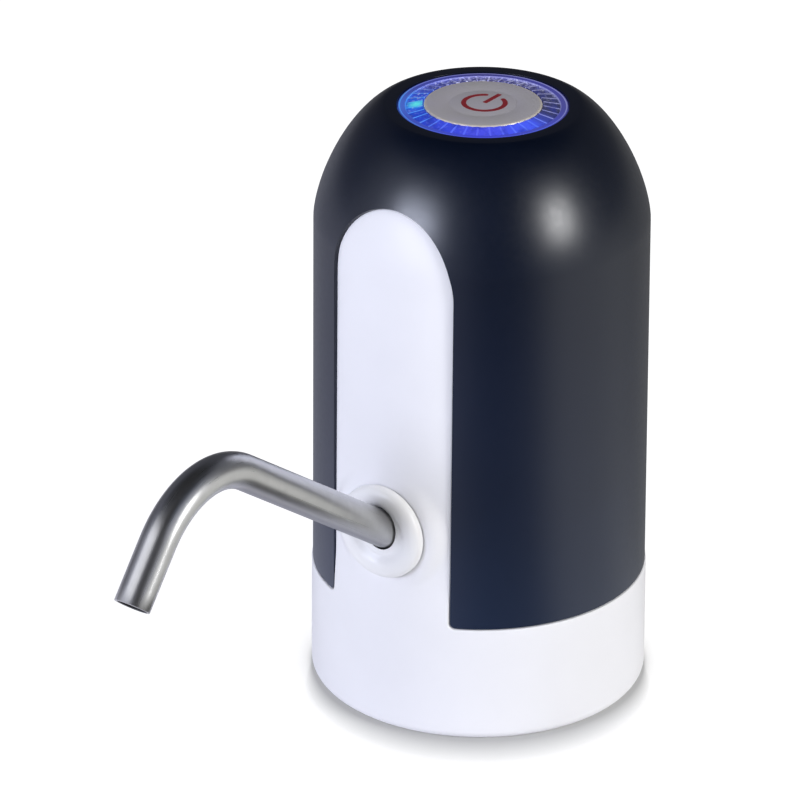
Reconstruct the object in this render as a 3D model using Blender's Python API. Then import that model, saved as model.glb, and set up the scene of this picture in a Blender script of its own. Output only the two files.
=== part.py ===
import math

import bmesh
import bpy
from mathutils import Vector

MM = 0.001

# Body: the seat for the bottle's mouth is at zero height, the spout looks along -Y
BODY_RADIUS = 36.0 * MM
BODY_RADIUS_HEIGHT = 36.0 * MM
BODY_DRAFT_SHARE = 0.0058
BASE_DROP = 24.0 * MM
BASE_SEAM_STEP = 0.42 * MM
BASE_FLARE = 0.13 * MM
BASE_EDGE_RADIUS = 2.3 * MM
SHELL_EDGE_HEIGHT = 2.85 * MM
DOME_START = 83.1 * MM
CROWN_HEIGHT = 108.2 * MM
CROWN_FLAT = 2.6 * MM
DOME_POWER = 1.5
SHELL_WALL = 1.8 * MM
TOP_OPENING_RADIUS = 18.2 * MM
TOP_EDGE_BREAK = 0.3 * MM
GAP = 0.3 * MM
RUNNING_GAP = 0.1 * MM

# Window of the shell and the white panel that fills it
WINDOW_HALF_WIDTH = 15.23 * MM
WINDOW_SPRING_HEIGHT = 78.0 * MM
WINDOW_RISE = 17.3 * MM
WINDOW_REACH = 60.0 * MM
PANEL_RECESS_LOW = 0.4 * MM
PANEL_RECESS_HIGH = 0.85 * MM
PANEL_BLEND_HEIGHT = 14.0 * MM
PANEL_BOSS_RADIUS = 10.6 * MM
PANEL_BOSS_INSET = 0.3 * MM
PANEL_BOSS_SPREAD = 4.0 * MM
PANEL_BOSS_SHARES = ((0.0, 0.0), (0.35, 0.2), (0.75, 0.74), (1.0, 1.0))
PANEL_BOSS_DEPTH = 3.2 * MM
WINDOW_CUT_START = 13.8 * MM

# The pieces inside are laid out in plan in units of the body's radius
PLAN_UNITS = 36.0
PLAN = BODY_RADIUS / PLAN_UNITS

# White inner body: skirt, bottle socket, ledge for the deck and shelf for the board
INNER_WALL = 1.6 * MM
SHELF_HEIGHT = 97.6 * MM
SHELF_THICKNESS = 1.6 * MM
SHELF_HOLE_RADIUS = 17.0 * MM
LEDGE_WIDTH = 3.6 * MM
LEDGE_THICKNESS = 1.6 * MM
SOCKET_WALL = 1.4 * MM
SOCKET_WALL_END = 19.5 * MM
SKIRT_WALL = 1.95 * MM
SKIRT_LIP = 1.2 * MM
SKIRT_CURVE_HEIGHT = 3.0 * MM
GROOVE_TOP_DROP = 2.0 * MM
RIB_COUNT = 8
RIB_THICKNESS = 1.2 * MM
RIB_BITE = 0.4 * MM
RIB_LOW_DROP = 18.0 * MM
DECK_BOSS_RADIUS = 3.5 * MM
DECK_BOSS_HEIGHT = 7.5 * MM
DECK_BOSS_HOLE_END = 6.7 * MM

# Deck: its flat underside is the seat, and the inlet stem goes through it
DECK_INSET = 4.8 * MM
DECK_THICKNESS = 2.0 * MM
DECK_SCREW_INSET = 5.2 * MM
DECK_SCREW_ANGLES = (-45.0, 90.0, 225.0)
INLET_BORE = 2.0 * MM
INLET_BARB_LENGTH = 13.0 * MM
INLET_BARB_RADIUS = 4.0 * MM
INLET_BARB_ROOT = 3.3 * MM
INLET_COLLAR_RADIUS = 5.0 * MM
INLET_COLLAR_HEIGHT = 1.2 * MM
NIPPLE_HEIGHT = 7.5 * MM
NIPPLE_RADIUS = 2.7 * MM
NIPPLE_BEAD = 1.0 * MM
NIPPLE_NECK_DEPTH = 0.3 * MM
DECK_POST_RADIUS = 1.8 * MM
DECK_POST_X = 6.0 * PLAN
DECK_POST_Y = 21.0 * PLAN

# Silicone sleeve that grips the bottle's neck
SLEEVE_LOW_DROP = 19.2 * MM
SLEEVE_TOP_DROP = 2.0 * MM
SLEEVE_DEPTH = 3.6 * MM
SLEEVE_WALL = 2.5 * MM
SLEEVE_LIP_COUNT = 2
SLEEVE_LIP_SHARE = 0.35
SLEEVE_ROOT_SHARE = 0.9
SLEEVE_ENTRY = 0.6 * MM

# Screws
SCREW_SHANK = 1.1 * MM
SCREW_HEAD = 2.2 * MM
SCREW_HEAD_HEIGHT = 1.0 * MM
SCREW_HOLE = 1.25 * MM
SCREW_LENGTH = 6.5 * MM
SMALL_SHANK = 0.85 * MM
SMALL_HOLE = 1.0 * MM
SMALL_HEAD = 1.7 * MM
BOARD_SCREW_LENGTH = 3.2 * MM

# Spout: two straight legs and one bend of round steel tube
SPOUT_MOUTH_REACH = 1.4 * MM
SPOUT_MOUTH_HEIGHT = 24.13 * MM
SPOUT_RISE_DEG = 34.26
SPOUT_TUBE_RADIUS = 3.82 * MM
SPOUT_TUBE_WALL = 0.5 * MM
SPOUT_LEG = 56.63 * MM
SPOUT_END_LEG = 13.77 * MM
SPOUT_BEND_RADIUS = 21.44 * MM
SPOUT_BEND_DEG = 85.0
SPOUT_INSERT = 21.0 * PLAN
SPOUT_INSERT_STEP = 10.0 * MM
SPOUT_BEND_STEPS = 10
SPOUT_MIDDLE_SHARE = 0.6

# Collar round the spout, and the socket behind it
COLLAR_RADIUS = 10.4 * MM
COLLAR_HEIGHT = 22.98 * MM
COLLAR_SIDE = 0.9 * MM
COLLAR_RIDGE_RADIUS = 8.1 * MM
COLLAR_RIDGE = 2.4 * MM
COLLAR_DISH_RADIUS = 5.0 * MM
COLLAR_DISH = 1.2 * MM
COLLAR_HOLE = 4.15 * MM
COLLAR_SHOULDER_SHARES = ((0.2, 0.72), (0.55, 0.94))
COLLAR_SLOPE_SHARES = ((0.35, 0.85), (0.7, 0.4))
SOCKET_RADIUS = 6.0 * MM
SOCKET_BORE = 4.05 * MM
SOCKET_DEPTH = 24.5 * PLAN
SOCKET_FLOOR = 1.6 * MM
SOCKET_PLATE_RADIUS = 9.5 * MM
SOCKET_PLATE_INSET = 5.4 * MM
SOCKET_PLATE_THICKNESS = 1.6 * MM
SOCKET_PLATE_HEIGHT = 19.0 * MM
SOCKET_BARB_START = 2.2 * MM
SOCKET_BARB_FREE = 6.2 * MM
SOCKET_BARB_LENGTH = 7.3 * MM
SOCKET_BARB_DROP = 3.5 * MM
SOCKET_HOSE_STOP = 1.2 * MM
SEAL_STATIONS = (10.5 * MM, 15.5 * MM)
SEAL_CORD = 0.6 * MM
SEAL_GROOVE = 0.9 * MM
SEAL_GROOVE_DEPTH = 1.35 * MM
SEAL_CORD_STEPS = 8

# Clear ring, cut with radial facets, and the button inside it
RING_RADIUS = 17.9 * MM
RING_TOP = 108.0 * MM
RING_RIM_WIDTH = 1.5 * MM
RING_EDGE = 0.2 * MM
RING_FACETS = 36
RING_FACET_DEPTH = 0.3 * MM
RING_FACET_TIP_SHARE = 0.4
RING_FACET_SINK = 0.15 * MM
RING_FACET_RISE = 0.45 * MM
RING_INNER_RADIUS = 12.75 * MM
RING_FLANGE_RADIUS = 19.6 * MM
RING_FLANGE_TOP = 106.1 * MM
RING_BOTTOM = 104.3 * MM
RING_STEP_RADIUS = 14.6 * MM
RING_STEP_HEIGHT = 105.7 * MM
BUTTON_RADIUS = 12.45 * MM
BUTTON_TOP = 108.5 * MM
BUTTON_THICKNESS = 1.6 * MM
BUTTON_EDGE = 0.35 * MM
BUTTON_FLANGE_RADIUS = 14.1 * MM
BUTTON_FLANGE_TOP = 105.3 * MM
BUTTON_FLANGE_BOTTOM = 104.3 * MM
BUTTON_SKIRT_INNER = 11.0 * MM
BUTTON_STEM_RADIUS = 2.0 * MM
BUTTON_STEM_END = 104.9 * MM

# Control board with its switch and four lamps
BOARD_RADIUS = 20.4 * MM
BOARD_THICKNESS = 1.6 * MM
BOARD_SCREW_CIRCLE = 18.7 * MM
BOARD_SCREW_ANGLES = (-10.0, 170.0)
SWITCH_SIDE = 6.0 * MM
SWITCH_HEIGHT = 3.4 * MM
PLUNGER_RADIUS = 1.6 * MM
SWITCH_WELL_MARGIN = 1.0 * MM
PLUNGER_SINK = 1.8 * MM
PLUNGER_CLEARANCE = 0.25 * MM
SWITCH_EDGE = 0.3 * MM
LAMP_CIRCLE = 16.0 * MM
LAMP_FIRST_DEG = 214.4
LAMP_COUNT = 4
LAMP_WIDTH = 3.0 * MM
LAMP_LENGTH = 2.6 * MM
LAMP_HEIGHT = 1.3 * MM
LAMP_EDGE = 0.3 * MM

# Battery cell and its cup
CELL_X = -17.0 * PLAN
CELL_Y = 8.0 * PLAN
CELL_RADIUS = 9.0 * PLAN
CELL_LENGTH = 65.0 * MM
CELL_NUB_RADIUS = 3.2 * MM
CELL_NUB_HEIGHT = 1.6 * MM
CELL_EDGE = 0.3 * MM
CUP_WALL = 1.2 * MM
CUP_HEIGHT = 12.0 * MM
CUP_FLOOR = 2.0 * MM

# Diaphragm pump: heights of the stack on its axis
PUMP_X = 13.0 * PLAN
PUMP_Y = 9.0 * PLAN
PUMP_RADIUS = 14.0 * PLAN
COVER_BOTTOM = 22.0 * MM
COVER_THICKNESS = 5.0 * MM
COVER_BARB_OFFSET = 5.5 * PLAN
COVER_BARB_LENGTH = 7.0 * MM
BARB_RADIUS = 2.7 * MM
BARB_ROOT = 2.2 * MM
BARB_BORE = 1.3 * MM
VALVE_PLATE_THICKNESS = 3.0 * MM
VALVE_HOLE = 1.0 * MM
DIAPHRAGM_FLANGE = 1.2 * MM
CHAMBER_COUNT = 3
CHAMBER_CIRCLE = 7.0 * PLAN
CHAMBER_RADIUS = 4.2 * PLAN
CHAMBER_HEIGHT = 2.4 * MM
CHAMBER_WALL = 0.8 * MM
CHAMBER_STEM = 1.2 * MM
HOUSING_HEIGHT = 15.0 * MM
HOUSING_FLANGE = 5.0 * MM
HOUSING_RADIUS = 13.2 * PLAN
HOUSING_BORE = 11.3 * PLAN
HOUSING_TOP = 2.0 * MM
HOUSING_HOLE = 3.6 * MM
PUMP_SCREW_CIRCLE = 12.6 * PLAN
PUMP_SCREW_LENGTH = 13.5 * MM
WOBBLE_CENTRE = 36.2 * MM
WOBBLE_TILT_DEG = 12.0
WOBBLE_HUB_RADIUS = 2.6 * MM
WOBBLE_HUB_HEIGHT = 3.4 * MM
WOBBLE_ARM_WIDTH = 3.4 * MM
WOBBLE_ARM_THICKNESS = 1.2 * MM
WOBBLE_ARM_TIP = 1.9 * MM
WOBBLE_ARM_LIFT = 0.01 * MM
PIN_RADIUS = 0.75 * MM
PIN_LENGTH = 4.8 * MM
ECCENTRIC_RADIUS = 4.4 * MM
ECCENTRIC_BOTTOM = 39.9 * MM
ECCENTRIC_HEIGHT = 4.8 * MM
SHAFT_RADIUS = 1.0 * MM
SHAFT_BOTTOM = 42.2 * MM
SHAFT_LENGTH = 14.0 * MM

# Motor on top of the pump
MOTOR_RADIUS = 12.2 * PLAN
MOTOR_LENGTH = 30.0 * MM
MOTOR_BOSS_RADIUS = 3.2 * MM
MOTOR_BOSS_HEIGHT = 1.6 * MM
MOTOR_EDGE = 1.0 * MM
MOTOR_BEARING_DEPTH = 10.0 * MM
END_CAP_HEIGHT = 3.0 * MM
END_CAP_RADIUS = 11.6 * PLAN
TAB_WIDTH = 2.2 * MM
TAB_THICKNESS = 0.5 * MM
TAB_HEIGHT = 4.0 * MM
TAB_OFFSET = 8.0 * PLAN

# Bracket that ties motor and cell together, on two posts
BRACKET_HEIGHT = 58.0 * MM
BRACKET_THICKNESS = 3.0 * MM
BRACKET_RING = 2.0 * MM
POST_SIDE = 4.6 * MM
POST_Y = -12.0 * PLAN
POST_LEFT_X = -10.0 * PLAN
POST_RIGHT_X = 14.0 * PLAN
WEB_WIDTH = 3.6 * MM

# Charging port at the back
PORT_HEIGHT = 14.3 * MM
PORT_WIDTH = 7.6 * MM
PORT_TALL = 2.7 * MM
PORT_LENGTH = 5.8 * MM
PORT_RECESS = 1.0 * MM
PORT_WALL = 0.35 * MM
PORT_MARGIN = 0.7 * MM
PORT_CORNER = 0.8 * MM
PORT_EDGE = 0.3 * MM
CHARGE_BOARD_WIDTH = 16.0 * PLAN
CHARGE_BOARD_LENGTH = 17.0 * PLAN
CHARGE_BOARD_THICKNESS = 1.2 * MM
CHARGE_BOARD_INSET = 1.0 * MM
CHIP_SIDE = 3.9 * MM
CHIP_HEIGHT = 1.4 * MM
CHIP_EDGE = 0.15 * MM
COIL_RADIUS = 2.6 * MM
COIL_HEIGHT = 2.6 * MM
COIL_EDGE = 0.3 * MM

# Hoses and wires
HOSE_RADIUS = 4.0 * MM
HOSE_BORE = 3.0 * MM
OUTLET_BEND_X = -3.0 * MM
OUTLET_BEND_Y = -5.6 * MM
OUTLET_BEND_Z = -13.4 * MM
OUTLET_TURN_X = 8.2 * PLAN
OUTLET_TURN_Y = 11.4 * PLAN
OUTLET_TURN_Z = -2.6 * MM
HOSE_STEPS = 18
WIRE_RADIUS = 0.6 * MM
WIRE_SPREAD = 3.0 * MM
WIRE_STEPS = 12
WIRE_RISE_SHARE = 0.35
CELL_WIRE_REACH = 9.0 * PLAN
CELL_WIRE_SIDE = 4.0 * PLAN
MOTOR_WIRE_DROP = 6.0 * PLAN
BARB_TOOTH_SHARE = 0.15

# Facets of round pieces
BODY_STEPS = 36
ARCH_STEPS = 20
DOME_TABLE_STEPS = 24
DOME_STEPS = 6
INNER_DOME_STEPS = 4
EDGE_STEPS = 3
SOCKET_STEPS = 16
RING_STEPS = 2 * RING_FACETS
MEDIUM_STEPS = 24
BUTTON_STEPS = 28
SMALL_STEPS = 12
TUBE_SIDES = 4
HOSE_SIDES = 3
WIRE_SIDES = 1
TINY_STEPS = 8
SHARP_ANGLE = math.radians(32.0)
FULL_TURN = 2.0 * math.pi
MERGE_DISTANCE = 0.000001

BASE_SEAM_RADIUS = BODY_RADIUS + BASE_SEAM_STEP
BASE_RADIUS = BASE_SEAM_RADIUS + BASE_FLARE
CROWN_RADIUS = TOP_OPENING_RADIUS + CROWN_FLAT
PANEL_BOSS_FACE = BODY_RADIUS - PANEL_BOSS_INSET
PANEL_BOSS_ROOT = PANEL_BOSS_FACE - PANEL_BOSS_DEPTH
SKIRT_INNER_RADIUS = BASE_RADIUS - SKIRT_WALL
SKIRT_RIM_RADIUS = SKIRT_INNER_RADIUS - SKIRT_LIP
DECK_RADIUS = BODY_RADIUS - DECK_INSET
DECK_SCREW_CIRCLE = DECK_RADIUS - DECK_SCREW_INSET
SOCKET_WALL_RADIUS = DECK_RADIUS + GAP
LEDGE_RADIUS = DECK_RADIUS - LEDGE_WIDTH
SLEEVE_LIP_RADIUS = DECK_RADIUS - SLEEVE_DEPTH
SLEEVE_ROOT_RADIUS = DECK_RADIUS - SLEEVE_WALL
SPOUT_MOUTH_Y = BODY_RADIUS + SPOUT_MOUTH_REACH
SOCKET_PLATE_FACE = BODY_RADIUS - SOCKET_PLATE_INSET
INLET_X = PUMP_X - COVER_BARB_OFFSET
INLET_Y = PUMP_Y
DECK_TOP = DECK_THICKNESS
CELL_BOTTOM = DECK_TOP + GAP + CUP_FLOOR + GAP
BODY_INSET = SHELL_WALL + GAP
BODY_INNER_INSET = BODY_INSET + INNER_WALL
SPOUT_RISE = math.radians(SPOUT_RISE_DEG)
SPOUT_TILT = 0.5 * math.pi - SPOUT_RISE
FACING_FRONT = (0.5 * math.pi, 0.0, 0.0)
VALVE_PLATE_BOTTOM = COVER_BOTTOM + COVER_THICKNESS + GAP
DIAPHRAGM_BOTTOM = VALVE_PLATE_BOTTOM + VALVE_PLATE_THICKNESS + GAP
HOUSING_BOTTOM = DIAPHRAGM_BOTTOM + DIAPHRAGM_FLANGE + GAP
MOTOR_BOTTOM = HOUSING_BOTTOM + HOUSING_HEIGHT + GAP
END_CAP_BOTTOM = MOTOR_BOTTOM + MOTOR_LENGTH + GAP
BOARD_BOTTOM = SHELF_HEIGHT + GAP
BOARD_TOP = BOARD_BOTTOM + BOARD_THICKNESS
SWITCH_BOTTOM = BOARD_TOP + GAP
CHARGE_BOARD_BOTTOM = PORT_HEIGHT - 0.5 * PORT_TALL - GAP - CHARGE_BOARD_THICKNESS


def remove_everything():
    for item in list(bpy.data.objects):
        bpy.data.objects.remove(item, do_unlink=True)


def make_material(name, colour, roughness, metallic=0.0, alpha=1.0):
    material = bpy.data.materials.new(name)
    material.use_nodes = True
    shader = material.node_tree.nodes["Principled BSDF"]
    shader.inputs["Base Color"].default_value = (*colour, 1.0)
    shader.inputs["Roughness"].default_value = roughness
    shader.inputs["Metallic"].default_value = metallic
    shader.inputs["Alpha"].default_value = alpha
    material.diffuse_color = (*colour, alpha)
    return material


def make_object(name, data, material, location=(0.0, 0.0, 0.0), rotation=(0.0, 0.0, 0.0), parent=None):
    item = bpy.data.objects.new(name, data)
    bpy.context.scene.collection.objects.link(item)
    item.location = location
    item.rotation_euler = rotation
    item.parent = parent
    if material is not None:
        data.materials.append(material)
    return item


def make_empty(name, location, rotation=(0.0, 0.0, 0.0), parent=None):
    item = bpy.data.objects.new(name, None)
    bpy.context.scene.collection.objects.link(item)
    item.location = location
    item.rotation_euler = rotation
    item.parent = parent
    return item


def is_flat_centre(vert):
    """A vertex on the axis in the middle of a flat end."""
    if math.hypot(vert.co.x, vert.co.y) > MERGE_DISTANCE or len(vert.link_edges) < TINY_STEPS:
        return False
    return all(abs(edge.other_vert(vert).co.z - vert.co.z) < MERGE_DISTANCE for edge in vert.link_edges)


def mesh_from(builder, name):
    bmesh.ops.remove_doubles(builder, verts=builder.verts, dist=MERGE_DISTANCE)
    bmesh.ops.recalc_face_normals(builder, faces=builder.faces)
    centres = [vert for vert in builder.verts if is_flat_centre(vert)]
    bmesh.ops.dissolve_verts(builder, verts=centres)
    data = bpy.data.meshes.new(name)
    builder.to_mesh(data)
    builder.free()
    data.shade_smooth()
    data.set_sharp_from_angle(angle=SHARP_ANGLE)
    return data


def turned_mesh(name, profile, steps):
    """A profile of (radius, height) points turned about Z, closed unless it ends on the axis."""
    builder = bmesh.new()
    points = [builder.verts.new((radius, 0.0, height)) for radius, height in profile]
    lines = [builder.edges.new(pair) for pair in zip(points, points[1:])]
    if profile[0][0] > 0.0 or profile[-1][0] > 0.0:
        lines.append(builder.edges.new((points[-1], points[0])))
    bmesh.ops.spin(
        builder,
        geom=points + lines,
        cent=(0.0, 0.0, 0.0),
        axis=(0.0, 0.0, 1.0),
        angle=FULL_TURN,
        steps=steps,
        use_merge=True,
        use_duplicate=False,
    )
    return mesh_from(builder, name)


def rod_mesh(name, radius, low, high, steps, edge=0.0):
    profile = [(0.0, low), (radius, low), (radius, high - edge)]
    if edge > 0.0:
        profile.append((radius - edge, high))
    else:
        profile[-1] = (radius, high)
    profile.append((0.0, high))
    return turned_mesh(name, profile, steps)


def box_mesh(name, size, centre=(0.0, 0.0, 0.0), bevel=0.0):
    builder = bmesh.new()
    bmesh.ops.create_cube(builder, size=1.0)
    bmesh.ops.scale(builder, vec=size, verts=builder.verts)
    if bevel > 0.0:
        bmesh.ops.bevel(
            builder,
            geom=builder.edges[:],
            offset=bevel,
            offset_type="OFFSET",
            segments=1,
            affect="EDGES",
        )
    bmesh.ops.translate(builder, vec=centre, verts=builder.verts)
    return mesh_from(builder, name)


def prism_mesh(name, outline, low, high):
    """An outline of (x, z) points extruded along Y."""
    builder = bmesh.new()
    loop = [builder.verts.new((x, low, z)) for x, z in outline]
    face = builder.faces.new(loop)
    result = bmesh.ops.extrude_face_region(builder, geom=[face])
    moved = [part for part in result["geom"] if isinstance(part, bmesh.types.BMVert)]
    bmesh.ops.translate(builder, vec=(0.0, high - low, 0.0), verts=moved)
    return mesh_from(builder, name)


def helper(item):
    item.hide_render = True
    item.display_type = "WIRE"
    return item


def combine(item, tool, operation):
    modifier = item.modifiers.new(operation.title(), "BOOLEAN")
    modifier.operation = operation
    modifier.object = tool
    modifier.solver = "EXACT"
    helper(tool)


def cut(item, tool):
    combine(item, tool, "DIFFERENCE")


def join(item, tool):
    combine(item, tool, "UNION")


def curve_tube(name, points, radius, material, sides, wall=0.0, parent=None):
    """A round tube along points; with a wall it keeps an open bore."""
    data = bpy.data.curves.new(name, "CURVE")
    data.dimensions = "3D"
    data.bevel_depth = radius
    data.bevel_resolution = sides
    data.use_fill_caps = wall == 0.0
    spline = data.splines.new("POLY")
    spline.points.add(len(points) - 1)
    for target, point in zip(spline.points, points):
        target.co = (*point, 1.0)
    item = make_object(name, data, material, parent=parent)
    if wall > 0.0:
        solid = item.modifiers.new("Wall", "SOLIDIFY")
        solid.thickness = wall
        solid.offset = -1.0
        solid.use_rim = True
        solid.use_even_offset = False
    return item


def smooth_path(stations, count):
    """A Catmull-Rom curve through the stations, read at even steps."""
    ends = [2.0 * stations[0] - stations[1]] + stations + [2.0 * stations[-1] - stations[-2]]
    path = []
    spans = len(stations) - 1
    for step in range(count + 1):
        place = spans * step / count
        span = min(int(place), spans - 1)
        t = place - span
        a, b, c, d = ends[span : span + 4]
        bend = 2.0 * a - 5.0 * b + 4.0 * c - d
        twist = 3.0 * b - a - 3.0 * c + d
        path.append(0.5 * (2.0 * b + (c - a) * t + bend * t * t + twist * t * t * t))
    return path


def wall_radius(height, inset):
    """Radius of the body's outer surface at a height, moved in by an inset."""
    if height <= DOME_START:
        return BODY_RADIUS - BODY_DRAFT_SHARE * (height - BODY_RADIUS_HEIGHT) - inset
    dome = dome_points(inset, DOME_TABLE_STEPS)
    for (r0, z0), (r1, z1) in zip(dome, dome[1:]):
        if z0 <= height <= z1:
            return r0 + (r1 - r0) * (height - z0) / (z1 - z0)
    return dome[-1][0]


def dome_points(inset, count):
    """The dome's profile, a superellipse from wall to crown, moved in along its normal."""
    start_radius = BODY_RADIUS - BODY_DRAFT_SHARE * (DOME_START - BODY_RADIUS_HEIGHT)
    width = start_radius - CROWN_RADIUS
    rise = CROWN_HEIGHT - DOME_START
    power = 2.0 / DOME_POWER
    points = []
    for step in range(count + 1):
        turn = 0.5 * math.pi * step / count
        across = max(math.cos(turn), 0.0)
        up = max(math.sin(turn), 0.0)
        normal = Vector((across ** (2.0 - power) / width, up ** (2.0 - power) / rise)).normalized()
        radius = CROWN_RADIUS + width * across**power - inset * normal.x
        height = DOME_START + rise * up**power - inset * normal.y
        points.append((radius, height))
    return points


def wall_profile(inset, low, high, count):
    """The body's surface from a low to a high level, moved in by an inset."""
    points = [(wall_radius(low, inset), low)]
    for radius, height in dome_points(inset, count):
        if low < height < high:
            points.append((radius, height))
    if high < CROWN_HEIGHT - inset:
        points.append((wall_radius(high, inset), high))
    return points


def window_outline(margin, low):
    """Straight sides and an arched top, as the shell is cut along Y."""
    width = WINDOW_HALF_WIDTH - margin
    rise = WINDOW_RISE - margin
    points = [(width, low)]
    for step in range(ARCH_STEPS + 1):
        turn = math.pi * step / ARCH_STEPS
        points.append((width * math.cos(turn), WINDOW_SPRING_HEIGHT + rise * math.sin(turn)))
    points.append((-width, low))
    return points


def around(radius, degrees, height=0.0):
    turn = math.radians(degrees)
    return Vector((radius * math.cos(turn), radius * math.sin(turn), height))


def barb_profile(root, tip, start, length, teeth):
    """Outline of a hose barb: each tooth rises to the tip radius and slopes back to the root."""
    points = []
    pitch = length / teeth
    for tooth in range(teeth):
        near = start + pitch * tooth
        points.append((root, near))
        points.append((tip, near + BARB_TOOTH_SHARE * pitch))
    points.append((root, start + length))
    return points


def screw_mesh(name, shank, head, head_height, length):
    """A screw pointing up from its head, which starts at zero."""
    profile = [
        (0.0, 0.0),
        (head, 0.0),
        (head, head_height),
        (shank, head_height),
        (shank, head_height + length - shank),
        (0.0, head_height + length),
    ]
    return turned_mesh(name, profile, TINY_STEPS)


def build_materials():
    looks = {
        "shell_navy": make_material("shell_navy", (0.012, 0.018, 0.035), 0.42),
        "body_white": make_material("body_white", (0.86, 0.86, 0.9), 0.3),
        "deck_white": make_material("deck_white", (0.78, 0.79, 0.82), 0.38),
        "collar_white": make_material("collar_white", (0.88, 0.88, 0.9), 0.28),
        "clear_blue": make_material("clear_blue", (0.1, 0.16, 0.85), 0.1, 0.0, 0.7),
        "button_metal": make_material("button_metal", (0.42, 0.39, 0.37), 0.35, 0.6),
        "steel": make_material("steel", (0.55, 0.55, 0.54), 0.28, 1.0),
        "motor_zinc": make_material("motor_zinc", (0.5, 0.52, 0.54), 0.35, 1.0),
        "silicone": make_material("silicone", (0.75, 0.77, 0.78), 0.6),
        "black_rubber": make_material("black_rubber", (0.03, 0.03, 0.03), 0.7),
        "board_green": make_material("board_green", (0.03, 0.19, 0.08), 0.45),
        "cell_wrap": make_material("cell_wrap", (0.06, 0.22, 0.5), 0.4),
        "black_plastic": make_material("black_plastic", (0.03, 0.03, 0.035), 0.5),
        "pump_plastic": make_material("pump_plastic", (0.55, 0.56, 0.58), 0.45),
        "brass": make_material("brass", (0.72, 0.52, 0.2), 0.3, 1.0),
        "lamp_blue": make_material("lamp_blue", (0.35, 0.5, 0.95), 0.25),
        "wire_red": make_material("wire_red", (0.55, 0.03, 0.03), 0.5),
        "wire_black": make_material("wire_black", (0.03, 0.03, 0.03), 0.5),
    }
    return looks


def build_shell(looks):
    outer = wall_profile(0.0, SHELL_EDGE_HEIGHT, CROWN_HEIGHT, DOME_STEPS)
    outer += [
        (CROWN_RADIUS, CROWN_HEIGHT),
        (TOP_OPENING_RADIUS + TOP_EDGE_BREAK, CROWN_HEIGHT),
        (TOP_OPENING_RADIUS, CROWN_HEIGHT - TOP_EDGE_BREAK),
    ]
    inner = wall_profile(SHELL_WALL, SHELL_EDGE_HEIGHT, CROWN_HEIGHT - SHELL_WALL, DOME_STEPS)
    inner += [
        (CROWN_RADIUS, CROWN_HEIGHT - SHELL_WALL),
        (TOP_OPENING_RADIUS, CROWN_HEIGHT - SHELL_WALL),
    ]
    shell = make_object(
        "outer_shell",
        turned_mesh("outer_shell", outer + inner[::-1], BODY_STEPS),
        looks["shell_navy"],
    )
    outline = window_outline(0.0, -BASE_DROP)
    window = prism_mesh("window_cutter", outline, -WINDOW_REACH, -WINDOW_CUT_START)
    cut(shell, make_object("window_cutter", window, None))
    cut(shell, port_cutter("shell_port_cutter", PORT_MARGIN))
    return shell


def port_cutter(name, margin):
    size = (PORT_WIDTH + 2.0 * margin, WINDOW_REACH, PORT_TALL + 2.0 * margin)
    centre = (0.0, LEDGE_RADIUS + 0.5 * WINDOW_REACH, PORT_HEIGHT)
    return make_object(name, box_mesh(name, size, centre, PORT_CORNER), None)


def build_panel_pad():
    """The piece of white wall that stands out through the shell's window."""
    outer = [(BASE_SEAM_RADIUS - TOP_EDGE_BREAK, -DECK_THICKNESS)]
    outer.append((BASE_SEAM_RADIUS - TOP_EDGE_BREAK, -GAP))
    outer.append((wall_radius(PANEL_BLEND_HEIGHT, PANEL_RECESS_LOW), PANEL_BLEND_HEIGHT))
    outer.append((wall_radius(DOME_START, PANEL_RECESS_HIGH), DOME_START))
    outer += [p for p in dome_points(PANEL_RECESS_HIGH, 2 * DOME_STEPS)[1:] if p[1] < SHELF_HEIGHT]
    depth = BODY_INSET + 0.5 * INNER_WALL
    top = outer[-1][1]
    inner = wall_profile(depth, -DECK_THICKNESS, top, DOME_STEPS)
    pad = make_object("panel_pad", turned_mesh("panel_pad", outer + inner[::-1], BODY_STEPS), None)
    outline = window_outline(GAP, -0.5 * BASE_DROP)
    guide = prism_mesh("panel_guide", outline, -WINDOW_REACH, -WINDOW_CUT_START)
    combine(pad, make_object("panel_guide", guide, None), "INTERSECT")
    return pad


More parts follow.
